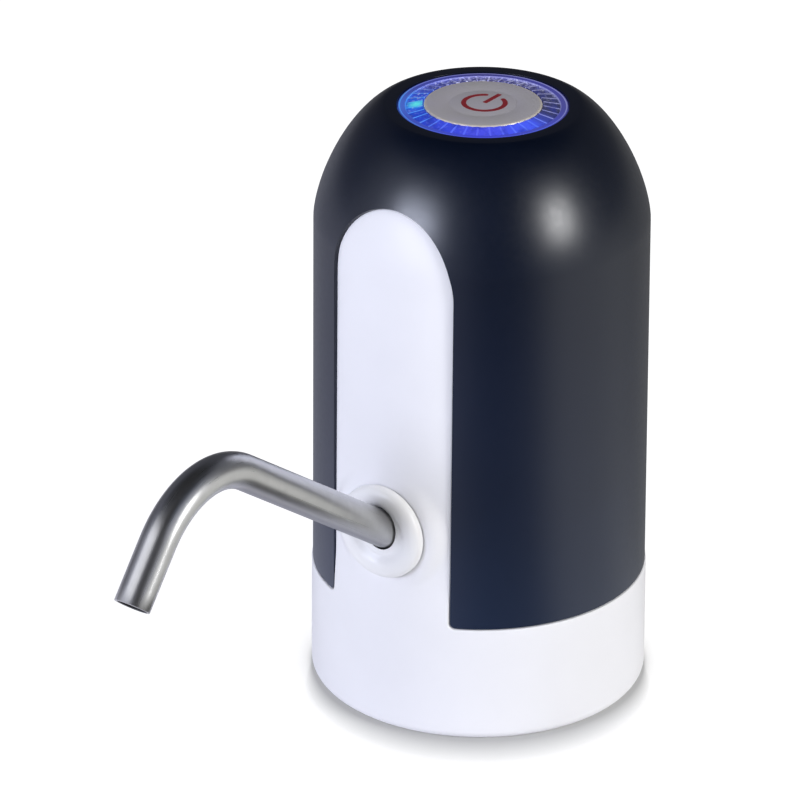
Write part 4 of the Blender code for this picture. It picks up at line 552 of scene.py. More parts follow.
def capped_mesh(name, *bars):
    """Closed bars with flat ends, each through its own rows of points."""
    builder = bmesh.new()
    for rows in bars:
        points = [[builder.verts.new(point) for point in row] for row in rows]
        for row, following in zip(points, points[1:]):
            for place in range(len(row)):
                after = (place + 1) % len(row)
                builder.faces.new((row[place], row[after], following[after], following[place]))
        builder.faces.new(points[0][::-1])
        builder.faces.new(points[-1])
    return finished_mesh(builder, name)


def cutter(name, data, place=Matrix()):
    """A hidden object that another one is cut with."""
    item = placed(name, data, place)
    item.hide_render = True
    item.hide_set(True)
    return item


def modified(item, name, kind, **settings):
    modifier = item.modifiers.new(name, kind)
    for key, value in settings.items():
        setattr(modifier, key, value)


def cut(item, tool):
    modified(item, "Cut", "BOOLEAN", operation="DIFFERENCE", solver="EXACT", object=tool)


def soften(item, width, segments=SOFT_SEGMENTS, angle=SOFT_ANGLE):
    limit = {"limit_method": "ANGLE", "angle_limit": angle}
    modified(item, "Soft edges", "BEVEL", width=width, segments=segments, harden_normals=True, **limit)


def wall_radius(height, inset=0.0):
    """Outer radius of the body at a height: a drafted wall, then a superellipse dome."""
    straight = BODY_RADIUS - BODY_DRAFT_SHARE * (min(height, DOME_START) - BODY_RADIUS_HEIGHT)
    if height <= DOME_START:
        return straight - inset
    rise = min((height - DOME_START) / (CROWN_HEIGHT - DOME_START - inset), 1.0)
    across = (1.0 - rise**DOME_POWER) ** (1.0 / DOME_POWER)
    return CROWN_RADIUS + (straight - inset - CROWN_RADIUS) * across


def dome_levels(top):
    """Heights up the dome, close together where it curves most."""
    levels = []
    for step in range(DOME_STEPS + 1):
        share = math.sin(QUARTER_TURN * step / DOME_STEPS) ** (2.0 / DOME_POWER)
        levels.append(DOME_START + (top - DOME_START) * share)
    return levels


def on_body(turn, radius, height):
    """A point on a circle round the body, with the turn counted from the front."""
    return (radius * math.sin(turn), -radius * math.cos(turn), height)


def window_edge(margin):
    """Half width and height of the window's edge, lower corner to arch, moved in by a margin."""
    edge = []
    corner = WINDOW_CORNER + margin
    for step in range(2 * EDGE_STEPS + 1):
        turn = QUARTER_TURN * (1.0 - step / (2 * EDGE_STEPS))
        x = WINDOW_HALF_WIDTH + WINDOW_CORNER - corner * math.cos(turn)
        edge.append((x, SHELL_LOW + WINDOW_CORNER - corner * math.sin(turn)))
    low = edge[-1][1]
    for step in range(1, PANEL_ROWS):
        edge.append((WINDOW_HALF_WIDTH - margin, low + (WINDOW_SPRING_HEIGHT - low) * step / PANEL_ROWS))
    for step in [*range(ARCH_STEPS), ARCH_STEPS - ARCH_LAST_STEP, ARCH_STEPS]:
        turn = QUARTER_TURN * step / ARCH_STEPS
        x = (WINDOW_HALF_WIDTH - margin) * math.cos(turn)
        edge.append((max(x, 0.0), WINDOW_SPRING_HEIGHT + (WINDOW_RISE - margin) * math.sin(turn)))
    edge[-1] = (0.0, edge[-1][1])
    return edge


def held(value, low, high):
    return min(max(value, low), high)


def smooth_share(low, high, value):
    share = held((value - low) / (high - low), 0.0, 1.0)
    return share * share * (3.0 - 2.0 * share)


def panel_radius(height):
    """The panel's face: level with the base at the bottom, then a little behind the shell."""
    climb = held((height - PANEL_BLEND_HEIGHT) / (DOME_START - PANEL_BLEND_HEIGHT), 0.0, 1.0)
    recess = PANEL_RECESS_LOW + (PANEL_RECESS_HIGH - PANEL_RECESS_LOW) * climb
    blend = smooth_share(SEAM_HEIGHT, PANEL_BLEND_HEIGHT, height)
    return SEAM_RADIUS + (wall_radius(height, recess) - SEAM_RADIUS) * blend


def panel_point(turn, radius, height):
    """A point of the panel's face, which swells into a flat pad behind the collar."""
    swell = max(PAD_FACE / math.cos(turn) - radius, 0.0)
    apart = math.hypot(radius * math.sin(turn), height - COLLAR_HEIGHT)
    share = 1.0 - smooth_share(PAD_RADIUS, PAD_RADIUS + PAD_SPREAD, apart)
    return on_body(turn, radius + swell * share, height)


def sweep(side, radius, height):
    """Points round the back of the body, from one side angle to its mirror image."""
    turns = [side + (FULL_TURN - 2.0 * side) * step / BODY_COLUMNS for step in range(BODY_COLUMNS + 1)]
    return [on_body(turn, radius, height) for turn in turns]


def shell_row(edge, band):
    """A loop round the shell: the window's edge, a narrow band along it, then the rest."""
    x, height = edge
    radius = wall_radius(height)
    x, y, height = on_body(math.asin(x / radius), radius, height)
    side, level = band
    radius = wall_radius(level)
    return [(x, y, height)] + sweep(math.asin(side / radius), radius, level) + [(-x, y, height)]


def make_shell(material):
    """Shell with its window: a skin of loops from the lower edge up, given its wall inward."""
    edges = window_edge(0.0)
    bands = window_edge(-SHELL_BAND)
    rows = [shell_row(edges[0], edges[0])]
    rows += [shell_row(edge, band) for edge, band in zip(edges, bands)]
    rows.append(shell_row(bands[-1], bands[-1]))
    for height in dome_levels(CROWN_HEIGHT):
        if height > bands[-1][1] + SHELL_EDGE:
            rows.append(shell_row((0.0, height), (0.0, height)))
    opening = sweep(0.0, TOP_OPENING_RADIUS, CROWN_HEIGHT)
    rows.append(opening[:1] + opening + opening[-1:])
    data = grid_mesh("shell_skin", rows, wrap_columns=False)
    shell = piece("shell_skin", data, material, "housing", "outer_shell")
    modified(shell, "Wall", "SOLIDIFY", thickness=SHELL_WALL, offset=-1.0, use_even_offset=True)
    cut(shell, port_tool("shell_port"))
    soften(shell, SHELL_EDGE)
    return shell


def port_mesh(name, outline, near, far):
    """A bar at the charging port, from one distance behind the axis to another."""
    return capped_mesh(name, [[(x, reach, PORT_HEIGHT + y) for x, y in outline] for reach in (near, far)])


def port_tool(name):
    """A rounded bar that opens the wall for the charging port."""
    wide = 0.5 * PORT_WIDTH + PORT_MARGIN
    tall = 0.5 * PORT_TALL + PORT_MARGIN
    outline = rectangle(-wide, -tall, wide, tall, PORT_CORNER)
    data = port_mesh(name, outline, BODY_RADIUS - PORT_CUT_INWARD, BODY_RADIUS + PORT_CUT_OUTWARD)
    return cutter(name, data)


def body_row(face, edges, side, radius, height):
    """One loop round the white body: panel face, its rounded edge, its side wall and the rest."""
    x, face_radius, face_height = face
    spread = math.asin(x / face_radius)
    turns = [spread * (2.0 * step / PANEL_COLUMNS - 1.0) for step in range(PANEL_COLUMNS + 1)]
    row = [panel_point(turn, face_radius, face_height) for turn in turns]
    edge_points = [on_body(math.asin(ex / er), er, ez) for ex, er, ez in edges]
    row += edge_points
    row += sweep(math.asin(side / radius), radius, height)
    row += [(-ex, ey, ez) for ex, ey, ez in reversed(edge_points)]
    return row


def plain_row(radius, height, x=0.0):
    """A loop of one radius and height, with the panel's columns spread to a half width."""
    spot = (x, radius, height)
    return body_row(spot, [spot] * EDGE_STEPS, x, radius, height)


def edge_arc(step):
    """How far the rounded edge has come in and up at a step."""
    turn = QUARTER_TURN * step / EDGE_STEPS
    return SEAM_EDGE * (1.0 - math.cos(turn)), SEAM_EDGE * math.sin(turn)


def foot_rows():
    """The rim that the body stands on, the rounded edge over it and the band up to the seam."""
    rows = [plain_row(SKIRT_RIM_RADIUS, BASE_BOTTOM)]
    for step in range(2 * EDGE_STEPS + 1):
        turn = QUARTER_TURN * step / (2 * EDGE_STEPS)
        radius = BASE_RADIUS - BASE_EDGE * (1.0 - math.sin(turn))
        rows.append(plain_row(radius, BASE_BOTTOM + BASE_EDGE * (1.0 - math.cos(turn))))
    low = BASE_BOTTOM + BASE_EDGE
    for step in range(1, BAND_STEPS + 1):
        share = step / BAND_STEPS
        radius = BASE_RADIUS + (SEAM_RADIUS - BASE_RADIUS) * share
        rows.append(plain_row(radius, low + (SEAM_HEIGHT - low) * share, PANEL_FOOT * share))
    return rows


def seam_rows():
    """The rounded edge at the seam, which turns in below the shell but not below the panel."""
    rows = []
    for step in range(1, EDGE_STEPS + 1):
        arcs = [edge_arc(min(place, step)) for place in range(1, EDGE_STEPS + 1)]
        edges = [(PANEL_FOOT, SEAM_RADIUS - into, SEAM_HEIGHT + up) for into, up in arcs]
        face = (PANEL_FOOT, SEAM_RADIUS, SEAM_HEIGHT)
        into, up = edge_arc(step)
        rows.append(body_row(face, edges, PANEL_FOOT, SEAM_RADIUS - into, SEAM_HEIGHT + up))
    return rows


def panel_rows():
    """The panel with its rounded edge up to the arch, and the plain dome above it."""
    arcs = [edge_arc(place) for place in range(EDGE_STEPS + 1)]
    outlines = [(into, window_edge(GAP + SEAM_EDGE - up)) for into, up in arcs]
    rows = []
    for index, (side, height) in enumerate(outlines[-1][1]):
        spots = []
        for into, outline in outlines:
            x, level = outline[index]
            spots.append((x, panel_radius(level) - into, level))
        rows.append(body_row(spots[0], spots[1:], side, wall_radius(height, BODY_INSET), height))
    reached = outlines[-1][1][-1][1]
    for height in dome_levels(CROWN_HEIGHT - BODY_INSET):
        if reached + GAP < height < BODY_TOP - GAP:
            rows.append(plain_row(wall_radius(height, BODY_INSET), height))
    return rows


def inner_rows():
    """The top rim, the shelf's hole, the inner wall, the deck's ledge, the socket and the skirt."""
    rim = wall_radius(BODY_TOP, BODY_INSET)
    wall_top = SHELF_HEIGHT - SHELF_THICKNESS
    inside = [
        (rim, BODY_TOP),
        (rim - INNER_WALL, BODY_TOP),
        (SHELF_HOLE_RADIUS, SHELF_HEIGHT),
        (SHELF_HOLE_RADIUS, wall_top),
    ]
    for step in range(WALL_STEPS + 1):
        height = wall_top + (LEDGE_HIGH - wall_top) * step / WALL_STEPS
        inside.append((wall_radius(height, BODY_INSET + INNER_WALL), height))
    inside += [
        (LEDGE_RADIUS, LEDGE_HIGH),
        (LEDGE_RADIUS, LEDGE_LOW),
        (SOCKET_WALL_RADIUS, LEDGE_LOW),
        (SOCKET_WALL_RADIUS, -SOCKET_WALL_DROP),
        (SOCKET_WALL_RADIUS + SOCKET_WALL, -SOCKET_WALL_DROP),
        (SOCKET_WALL_RADIUS + SOCKET_WALL, -GROOVE_DROP),
        (SKIRT_INNER_RADIUS, -GROOVE_DROP),
    ]
    for step in range(EDGE_STEPS):
        turn = QUARTER_TURN * step / EDGE_STEPS
        radius = SKIRT_RIM_RADIUS + (SKIRT_INNER_RADIUS - SKIRT_RIM_RADIUS) * math.cos(turn)
        inside.append((radius, BASE_BOTTOM + SKIRT_CURVE_HEIGHT * (1.0 - math.sin(turn))))
    return [plain_row(radius, height) for radius, height in inside]


def round_bar(name, radius, low, high):
    return turned_mesh(name, [(0.0, low), (radius, low), (radius, high), (0.0, high)])


def bore_tool(name, radius):
    """A round bar along the spout's axis, through the panel and the collar."""
    return cutter(name, round_bar(name, radius, -PASSAGE_REACH, PASSAGE_REACH), SPOUT_AXIS)


def make_white_body(material):
    """White body with the spout's passage and the port's opening, and the ribs under it."""
    rows = foot_rows() + seam_rows() + panel_rows() + inner_rows()
    data = grid_mesh("body_skin", rows, wrap_rows=True)
    body = piece("body_skin", data, material, "housing", "inner_body")
    cut(body, bore_tool("passage", PASSAGE_RADIUS))
    cut(body, port_tool("body_port"))
    inner = SOCKET_WALL_RADIUS + 0.5 * SOCKET_WALL
    outer = 0.5 * (SKIRT_INNER_RADIUS + BASE_RADIUS)
    outline = rectangle(inner, -0.5 * RIB_THICKNESS, outer, 0.5 * RIB_THICKNESS)
    rows = [[(x, y, height) for x, y in outline] for height in (-RIB_DROP, -0.5 * GROOVE_DROP)]
    for index in range(RIB_COUNT):
        name = f"skirt_rib_{index + 1}"
        place = Matrix.Rotation(FULL_TURN * (index + 0.5) / RIB_COUNT, 4, "Z")
        rib = piece(name, capped_mesh(name, rows), material, "housing", "inner_body", place)
        soften(rib, RIB_EDGE)


def make_tube(material, bore):
    """Round steel tube: a straight leg, one bend and a short end leg, hollow all the way."""
    ahead = Vector((0.0, -math.cos(SPOUT_RISE), math.sin(SPOUT_RISE)))
    above = Vector((0.0, math.sin(SPOUT_RISE), math.cos(SPOUT_RISE)))
    start = SPOUT_MOUTH - ahead * SPOUT_INSERT
    bend_start = SPOUT_MOUTH + ahead * SPOUT_LEG
    centre = bend_start - above * SPOUT_BEND_RADIUS
    stations = []
    for step in range(WALL_STEPS):
        stations.append((start.lerp(bend_start, step / WALL_STEPS), above))
    for step in range(BEND_STEPS + 1):
        turn = SPOUT_BEND * step / BEND_STEPS
        out = above * math.cos(turn) + ahead * math.sin(turn)
        stations.append((centre + out * SPOUT_BEND_RADIUS, out))
    last, out = stations[-1]
    onward = ahead * math.cos(SPOUT_BEND) - above * math.sin(SPOUT_BEND)
    length = SPOUT_END_LEG - TUBE_LIP
    for step in range(1, EDGE_STEPS + 1):
        stations.append((last + onward * length * step / EDGE_STEPS, out))
    end = stations[-1][0]
    rings = [(spot, up, TUBE_RADIUS) for spot, up in stations]
    for step in range(1, 2 * EDGE_STEPS):
        turn = math.pi * step / (2 * EDGE_STEPS)
        middle = TUBE_RADIUS - 0.5 * TUBE_WALL
        spot = end + onward * TUBE_LIP * math.sin(turn)
        rings.append((spot, out, middle + 0.5 * TUBE_WALL * math.cos(turn)))
    rings += [(spot, up, TUBE_RADIUS - TUBE_WALL) for spot, up in reversed(stations)]
    turns = [FULL_TURN * step / TUBE_SIDES for step in range(TUBE_SIDES)]
    rows = []
    for spot, up, radius in rings:
        spokes = [up * math.cos(turn) + Vector((math.sin(turn), 0.0, 0.0)) for turn in turns]
        rows.append([spot + spoke * radius for spoke in spokes])
    data = grid_mesh("spout_pipe", rows, wrap_rows=True, second_from=len(rings) - len(stations))
    pipe = piece("spout_pipe", data, material, "spout", "spout_tube")
    data.materials.append(bore)
    return pipe


def make_collar(material):
    """A round face that swells to a ridge and falls to a dish round the spout."""
    back = PAD_FACE + GAP
    outline = [(0.0, back), (COLLAR_RADIUS, back)]
    for step in range(CURVE_STEPS + 1):
        turn = QUARTER_TURN * step / CURVE_STEPS
        radius = COLLAR_RIDGE_RADIUS + (COLLAR_RADIUS - COLLAR_RIDGE_RADIUS) * math.cos(turn)
        outline.append((radius, back + COLLAR_SIDE + (COLLAR_RIDGE - COLLAR_SIDE) * math.sin(turn)))
    for step in range(1, CURVE_STEPS + 1):
        share = step / CURVE_STEPS
        radius = COLLAR_RIDGE_RADIUS + (COLLAR_DISH_RADIUS - COLLAR_RIDGE_RADIUS) * share
        rise = 0.5 + 0.5 * math.cos(math.pi * share**COLLAR_SLOPE_POWER)
        outline.append((radius, back + COLLAR_DISH + (COLLAR_RIDGE - COLLAR_DISH) * rise))
    outline.append((0.0, back + COLLAR_DISH))
    place = Matrix.Translation((0.0, 0.0, COLLAR_HEIGHT)) @ Matrix.Rotation(QUARTER_TURN, 4, "X")
    data = turned_mesh("collar_skin", outline)
    collar = piece("collar_skin", data, material, "housing", "spout_collar", place)
    cut(collar, bore_tool("collar_hole", COLLAR_HOLE))
    soften(collar, COLLAR_HOLE_EDGE)


def make_ring(material):
    """Light ring: a plain rim, radial facets that rise towards the button, a flange under the shell."""
    rim = RING_RADIUS - RING_RIM_WIDTH
    foot = RING_TOP - RING_FACET_SINK
    tip = RING_TOP + RING_FACET_RISE
    below = [
        (RING_INNER_RADIUS, RING_STEP_HEIGHT),
        (RING_STEP_RADIUS, RING_STEP_HEIGHT),
        (RING_STEP_RADIUS, RING_BOTTOM),
        (RING_FLANGE_RADIUS, RING_BOTTOM),
        (RING_FLANGE_RADIUS, RING_FLANGE_TOP),
        (RING_RADIUS, RING_FLANGE_TOP),
    ]
    rows = []
    for step in range(RING_COLUMNS):
        drop = RING_FACET_DEPTH if step % 2 else 0.0
        facet = [(rim - RING_EDGE, foot - drop), (RING_INNER_RADIUS, tip - RING_FACET_TIP_SHARE * drop)]
        outline = [(RING_RADIUS, RING_TOP), (rim, RING_TOP)] + facet + below
        rows.append(spun(outline, FULL_TURN * step / RING_COLUMNS))
    data = grid_mesh("ring_skin", rows, wrap_rows=True, sharp=RING_SHARP)
    ring = piece("ring_skin", data, material, "housing", "light_ring")
    soften(ring, RING_SOFT, RING_SOFT_SEGMENTS, RING_SHARP)


def make_button(material, ink):
    """Push button with a shallow circle pressed into its top, and the symbol on it."""
    low = BUTTON_CIRCLE - 0.5 * BUTTON_CIRCLE_WIDTH
    high = BUTTON_CIRCLE + 0.5 * BUTTON_CIRCLE_WIDTH
    corners = [
        (0.0, BUTTON_STEM_END, 0.0),
        (BUTTON_STEM, BUTTON_STEM_END, 0.0),
        (BUTTON_STEM, BUTTON_TOP - BUTTON_THICKNESS, 0.0),
        (BUTTON_SKIRT, BUTTON_TOP - BUTTON_THICKNESS, 0.0),
        (BUTTON_SKIRT, BUTTON_BOTTOM, 0.0),
        (BUTTON_FLANGE_RADIUS, BUTTON_BOTTOM, 0.0),
        (BUTTON_FLANGE_RADIUS, BUTTON_FLANGE_TOP, 0.0),
        (BUTTON_RADIUS, BUTTON_FLANGE_TOP, 0.0),
        (BUTTON_RADIUS, BUTTON_TOP, BUTTON_EDGE),
        (high, BUTTON_TOP, 0.0),
        (BUTTON_CIRCLE, BUTTON_TOP - BUTTON_CIRCLE_DEPTH, 0.0),
        (low, BUTTON_TOP, 0.0),
        (0.0, BUTTON_TOP, 0.0),
    ]
    piece("button_skin", turned_mesh("button_skin", rounded(corners)), material, "button", "power_button")
    piece("power_symbol", symbol_mesh(), ink, "button", "power_button")


def symbol_mesh():
    """Power symbol: an open circle with a bar through its opening, as a raised print."""
    half = 0.5 * SYMBOL_STROKE
    middle = SYMBOL_RADIUS - half
    arc = []
    for radius, outward in ((SYMBOL_RADIUS, True), (SYMBOL_RADIUS - SYMBOL_STROKE, False)):
        for step in range(ROUND_STEPS + 1):
            share = step / ROUND_STEPS if outward else 1.0 - step / ROUND_STEPS
            turn = QUARTER_TURN + SYMBOL_OPENING + (FULL_TURN - 2.0 * SYMBOL_OPENING) * share
            arc.append((radius * math.cos(turn), radius * math.sin(turn)))
        finish = QUARTER_TURN - SYMBOL_OPENING if outward else QUARTER_TURN + SYMBOL_OPENING
        hub = Vector((middle * math.cos(finish), middle * math.sin(finish)))
        for step in range(1, 2 * EDGE_STEPS):
            turn = finish + math.pi * step / (2 * EDGE_STEPS) + (0.0 if outward else math.pi)
            arc.append((hub.x + half * math.cos(turn), hub.y + half * math.sin(turn)))
    bars = []
    for outline in (arc, rectangle(-half, 0.0, half, SYMBOL_BAR, SYMBOL_CORNER)):
        moved = [(x + SYMBOL_SHIFT[0], y + SYMBOL_SHIFT[1]) for x, y in outline]
        bars.append([[(x, y, BUTTON_TOP + rise) for x, y in moved] for rise in (-SYMBOL_RISE, SYMBOL_RISE)])
    return capped_mesh("power_symbol", *bars)


def make_sleeve(material):
    """Silicone sleeve with two soft lips that grip the bottle's neck."""
    pitch = (SLEEVE_TOP - SLEEVE_LOW) / SLEEVE_LIPS
    corners = [(SLEEVE_RADIUS, SLEEVE_LOW, 0.0), (SLEEVE_ROOT + SLEEVE_ENTRY, SLEEVE_LOW, SLEEVE_SOFT)]
    for index in range(SLEEVE_LIPS):
        corners.append((SLEEVE_LIP, SLEEVE_LOW + pitch * (index + SLEEVE_LIP_SHARE), SLEEVE_SOFT))
        corners.append((SLEEVE_ROOT, SLEEVE_LOW + pitch * (index + SLEEVE_ROOT_SHARE), SLEEVE_SOFT))
    corners.append((SLEEVE_ROOT, SLEEVE_TOP, 0.0))
    corners.append((SLEEVE_RADIUS, SLEEVE_TOP, 0.0))
    data = turned_mesh("sleeve_skin", rounded(corners))
    piece("sleeve_skin", data, material, "housing", "neck_sleeve")


def make_port_tongue(material):
    """The thin tongue inside the charging port."""
    mouth = wall_radius(PORT_HEIGHT, TONGUE_RECESS)
    half = 0.5 * TONGUE_THICKNESS
    outline = rectangle(-0.5 * TONGUE_WIDTH, -half, 0.5 * TONGUE_WIDTH, half, 0.5 * half)
    data = port_mesh("port_tongue", outline, mouth - TONGUE_LENGTH, mouth)
    piece("port_tongue", data, material, "housing")


def rgb(colour):
    """The three channels of a colour; a plain number is a grey."""
    return colour if isinstance(colour, tuple) else (colour, colour, colour)


def rgba(colour):
    """A colour as a node takes it; a socket stays as it is."""
    return colour if isinstance(colour, bpy.types.NodeSocket) else (*rgb(colour), 1.0)


def scaled(colour, factor):
    return tuple(min(channel * factor, 1.0) for channel in colour)


def new_look(name):
    material = bpy.data.materials.new(name)
    material.use_nodes = True
    return material, material.node_tree, material.node_tree.nodes["Principled BSDF"]


def fill(tree, node, inputs):
    """Gives each input its value, or a link where the value is a socket."""
    for key, value in inputs.items():
        if isinstance(value, bpy.types.NodeSocket):
            tree.links.new(value, node.inputs[key])
        else:
            node.inputs[key].default_value = value


def added(tree, kind, output, inputs, **settings):
    """One output of a new node with these inputs and settings."""
    node = tree.nodes.new(f"ShaderNode{kind}")
    for name, value in settings.items():
        setattr(node, name, value)
    fill(tree, node, inputs)
    return node.outputs[output]


def coordinates(tree, kind="Object"):
    return added(tree, "TexCoord", kind, {})


def ray_is(tree, kind):
    return added(tree, "LightPath", f"Is {kind} Ray", {})


def part_of(tree, vector, axis):
    return added(tree, "SeparateXYZ", axis, {"Vector": vector})


def flat_distance(tree, vector, centre=(0.0, 0.0)):
    """Distance in plan from an upright line."""
    inputs = {0: vector, 1: (1.0, 1.0, 0.0), 2: (-centre[0], -centre[1], 0.0)}
    moved = added(tree, "VectorMath", "Vector", inputs, operation="MULTIPLY_ADD")
    return added(tree, "VectorMath", "Value", {0: moved}, operation="LENGTH")


def noise(tree, scale, stretch=(1.0, 1.0, 1.0), detail=NOISE_DETAIL, source="Object"):
    vector = added(tree, "Mapping", "Vector", {"Vector": coordinates(tree, source), "Scale": stretch})
    return added(tree, "TexNoise", "Fac", {"Vector": vector, "Scale": scale, "Detail": detail})


def ranged(tree, source, low, high, start=NOISE_LOW, end=NOISE_HIGH):
    """A value carried from the span between start and end to low and high, and held beyond it."""
    span = {"From Min": start, "From Max": end, "To Min": low, "To Max": high}
    return added(tree, "MapRange", "Result", {"Value": source, **span})


def blended(tree, share, first, second, blend="MIX"):
    """Colour that goes from the first to the second with the share; each is a colour or a socket."""
    inputs = {"Factor": share, 6: rgba(first), 7: rgba(second)}
    return added(tree, "Mix", 2, inputs, data_type="RGBA", blend_type=blend)


def reckoned(tree, operation, first, second):
    return added(tree, "Math", "Value", {0: first, 1: second}, operation=operation)


def colour_ramp(tree, source, stops, smooth=True):
    node = tree.nodes.new("ShaderNodeValToRGB")
    node.color_ramp.interpolation = "EASE" if smooth else "LINEAR"
    elements = node.color_ramp.elements
    elements.remove(elements[-1])
    for index, (place, colour) in enumerate(stops):
        element = elements[0] if index == 0 else elements.new(place)
        element.position = place
        element.color = rgba(colour)
    fill(tree, node, {"Fac": source})
    return node.outputs["Color"]


def angle_about_axis(tree, vector):
    """0 at the back, 0.25 left, 0.5 towards the camera and 0.75 right of the upright axis."""
    inputs = {"Vector": vector, "Angle": -CAMERA_AZIMUTH}
    turned = added(tree, "VectorRotate", "Vector", inputs, rotation_type="Z_AXIS")
    ahead = reckoned(tree, "MULTIPLY", part_of(tree, turned, "Y"), -1.0)
    turn = reckoned(tree, "ARCTAN2", part_of(tree, turned, "X"), ahead)
    return ranged(tree, turn, 0.0, 1.0, -math.pi, math.pi)


def grained(tree, shader, grain, roughness, depth):
    """Grain in the sheen, within a range of roughness, and in the height of the surface."""
    bump = added(tree, "Bump", "Normal", {"Height": grain, "Distance": depth})
    fill(tree, shader, {"Roughness": ranged(tree, grain, *roughness), "Normal": bump})


def surface(name, colour, roughness, shade, metal, depth=GRAIN_DEPTH, gloss=PLAIN_GLOSS):
    """A material with slight cloudiness in its colour and a fine grain in its sheen and surface."""
    material, tree, shader = new_look(name)
    tint = ranged(tree, noise(tree, CLOUD_SCALE), 0.0, 1.0)
    base = blended(tree, tint, scaled(colour, 1.0 - shade), scaled(colour, 1.0 + shade))
    sheen = (roughness - ROUGHNESS_SPREAD, roughness + ROUGHNESS_SPREAD)
    grained(tree, shader, noise(tree, GRAIN_SCALE), sheen, depth)
    fill(tree, shader, {"Base Color": base, "Metallic": metal, "Specular IOR Level": gloss})
    return material


def make_looks():
    """Every material by the name of its slot."""
    looks = {
        "shell_navy": shell_look(),
        "clear_blue": ring_look(),
        "button_metal": button_look(),
        "steel_tube": tube_look(),
    }
    for name, *values in PLAIN_LOOKS:
        looks[name] = surface(name, *values)
    return looks


def tube_look():
    """Brushed steel: fine lines along the tube, and painted light round its section: a painted highlight on
    top and painted shade underneath.
    """
    material, tree, shader = new_look("steel_tube")
    painted_highlight_and_shade = colour_ramp(tree, part_of(tree, coordinates(tree, "UV"), "X"), TUBE_PAINTED_HIGHLIGHT_AND_SHADE)
    cloud = ranged(tree, noise(tree, TUBE_CLOUD_SCALE), 0.0, TUBE_CLOUD)
    base = blended(tree, cloud, painted_highlight_and_shade, TUBE_CLOUD_GREY)
    grained(tree, shader, noise(tree, 1.0, TUBE_LINES, source="UV"), TUBE_ROUGHNESS, TUBE_LINE_DEPTH)
    fill(tree, shader, {"Base Color": base, "Metallic": TUBE_METAL})
    return material


def shell_look():
    """Deep navy satin plastic, with painted floor light that makes it paler towards the base."""
    material, tree, shader = new_look("shell_navy")
    height = ranged(tree, part_of(tree, coordinates(tree), "Z"), 0.0, 1.0, 0.0, CROWN_HEIGHT)
    cloud = ranged(tree, noise(tree, CLOUD_SCALE), -SHELL_CLOUD, SHELL_CLOUD)
    base = colour_ramp(tree, reckoned(tree, "ADD", height, cloud), SHELL_NAVY_WITH_PAINTED_FLOOR_LIGHT, smooth=False)
    grained(tree, shader, noise(tree, GRAIN_SCALE), SHELL_ROUGHNESS, SHELL_GRAIN_DEPTH)
    fill(tree, shader, {"Base Color": base})
    return material


def ring_cells(tree, vector, angle):
    """Dark cells between light ridges, with painted glints, dark streaks and one bright lamp; the ridges
    carry the ring's glow at the front and left and painted highlights at the back and right.
    """
    first_ridge = RING_FACETS * (QUARTER_TURN - CAMERA_AZIMUTH) / FULL_TURN
    count = reckoned(tree, "SUBTRACT", reckoned(tree, "MULTIPLY", angle, RING_FACETS), first_ridge)
    ridge = ranged(tree, reckoned(tree, "PINGPONG", count, 0.5), 1.0, 0.0, *RIDGE_WIDTH)
    cells = blended(tree, ridge, colour_ramp(tree, angle, RING_CELLS), colour_ramp(tree, angle, RING_GLOW_AND_PAINTED_HIGHLIGHT_LINES))
    # Painted glints: specks of fine noise, weighted by the angle round the ring
    sparkle = ranged(tree, noise(tree, PAINTED_GLINT_SCALE, detail=PAINTED_GLINT_DETAIL), 0.0, 1.0, *PAINTED_GLINT_RANGE)
    painted_glints = reckoned(tree, "MULTIPLY", sparkle, colour_ramp(tree, angle, RING_PAINTED_GLINTS))
    cells = blended(tree, painted_glints, cells, PAINTED_GLINT_COLOUR)
    streak = ranged(tree, noise(tree, STREAK_SCALE, detail=STREAK_DETAIL), 0.0, STREAK_SHARE, *STREAK_RANGE)
    cells = blended(tree, streak, cells, STREAK_COLOUR)
    lamp = (-RING_LAMP_REACH * math.cos(CAMERA_AZIMUTH), -RING_LAMP_REACH * math.sin(CAMERA_AZIMUTH))
    glow = ranged(tree, flat_distance(tree, vector, lamp), RING_LAMP_SHARE, 0.0, *RING_LAMP_GLOW)
    return blended(tree, glow, cells, RING_LAMP_COLOUR)


def ring_look():
    """Lit clear ring: its cells, a plain band outside them and painted highlight lines along its edges."""
    material, tree, shader = new_look("clear_blue")
    vector = coordinates(tree)
    angle = angle_about_axis(tree, vector)
    radius = flat_distance(tree, vector)
    band = RING_RADIUS - RING_RIM_WIDTH
    outside = ranged(tree, radius, 0.0, 1.0, band - RING_EDGE, band)
    plain = blended(tree, outside, ring_cells(tree, vector, angle), colour_ramp(tree, angle, RING_BAND))
    across = ranged(tree, radius, 0.0, 1.0, RING_INNER_RADIUS, RING_RADIUS)
    # Painted highlight lines near the band's inner edge and near the outer edge
    edges = colour_ramp(tree, across, RING_EDGE_PAINTED_HIGHLIGHTS)
    colour = blended(tree, edges, plain, colour_ramp(tree, angle, RING_GLOW_AND_PAINTED_HIGHLIGHT_LINES))
    fill(tree, shader, {"Base Color": colour, "Emission Color": colour, "Emission Strength": RING_GLOW})
    coat = {"Coat Weight": RING_COAT, "Coat Roughness": RING_COAT_ROUGHNESS}
    fill(tree, shader, {"Roughness": RING_ROUGHNESS, **coat})
    return material


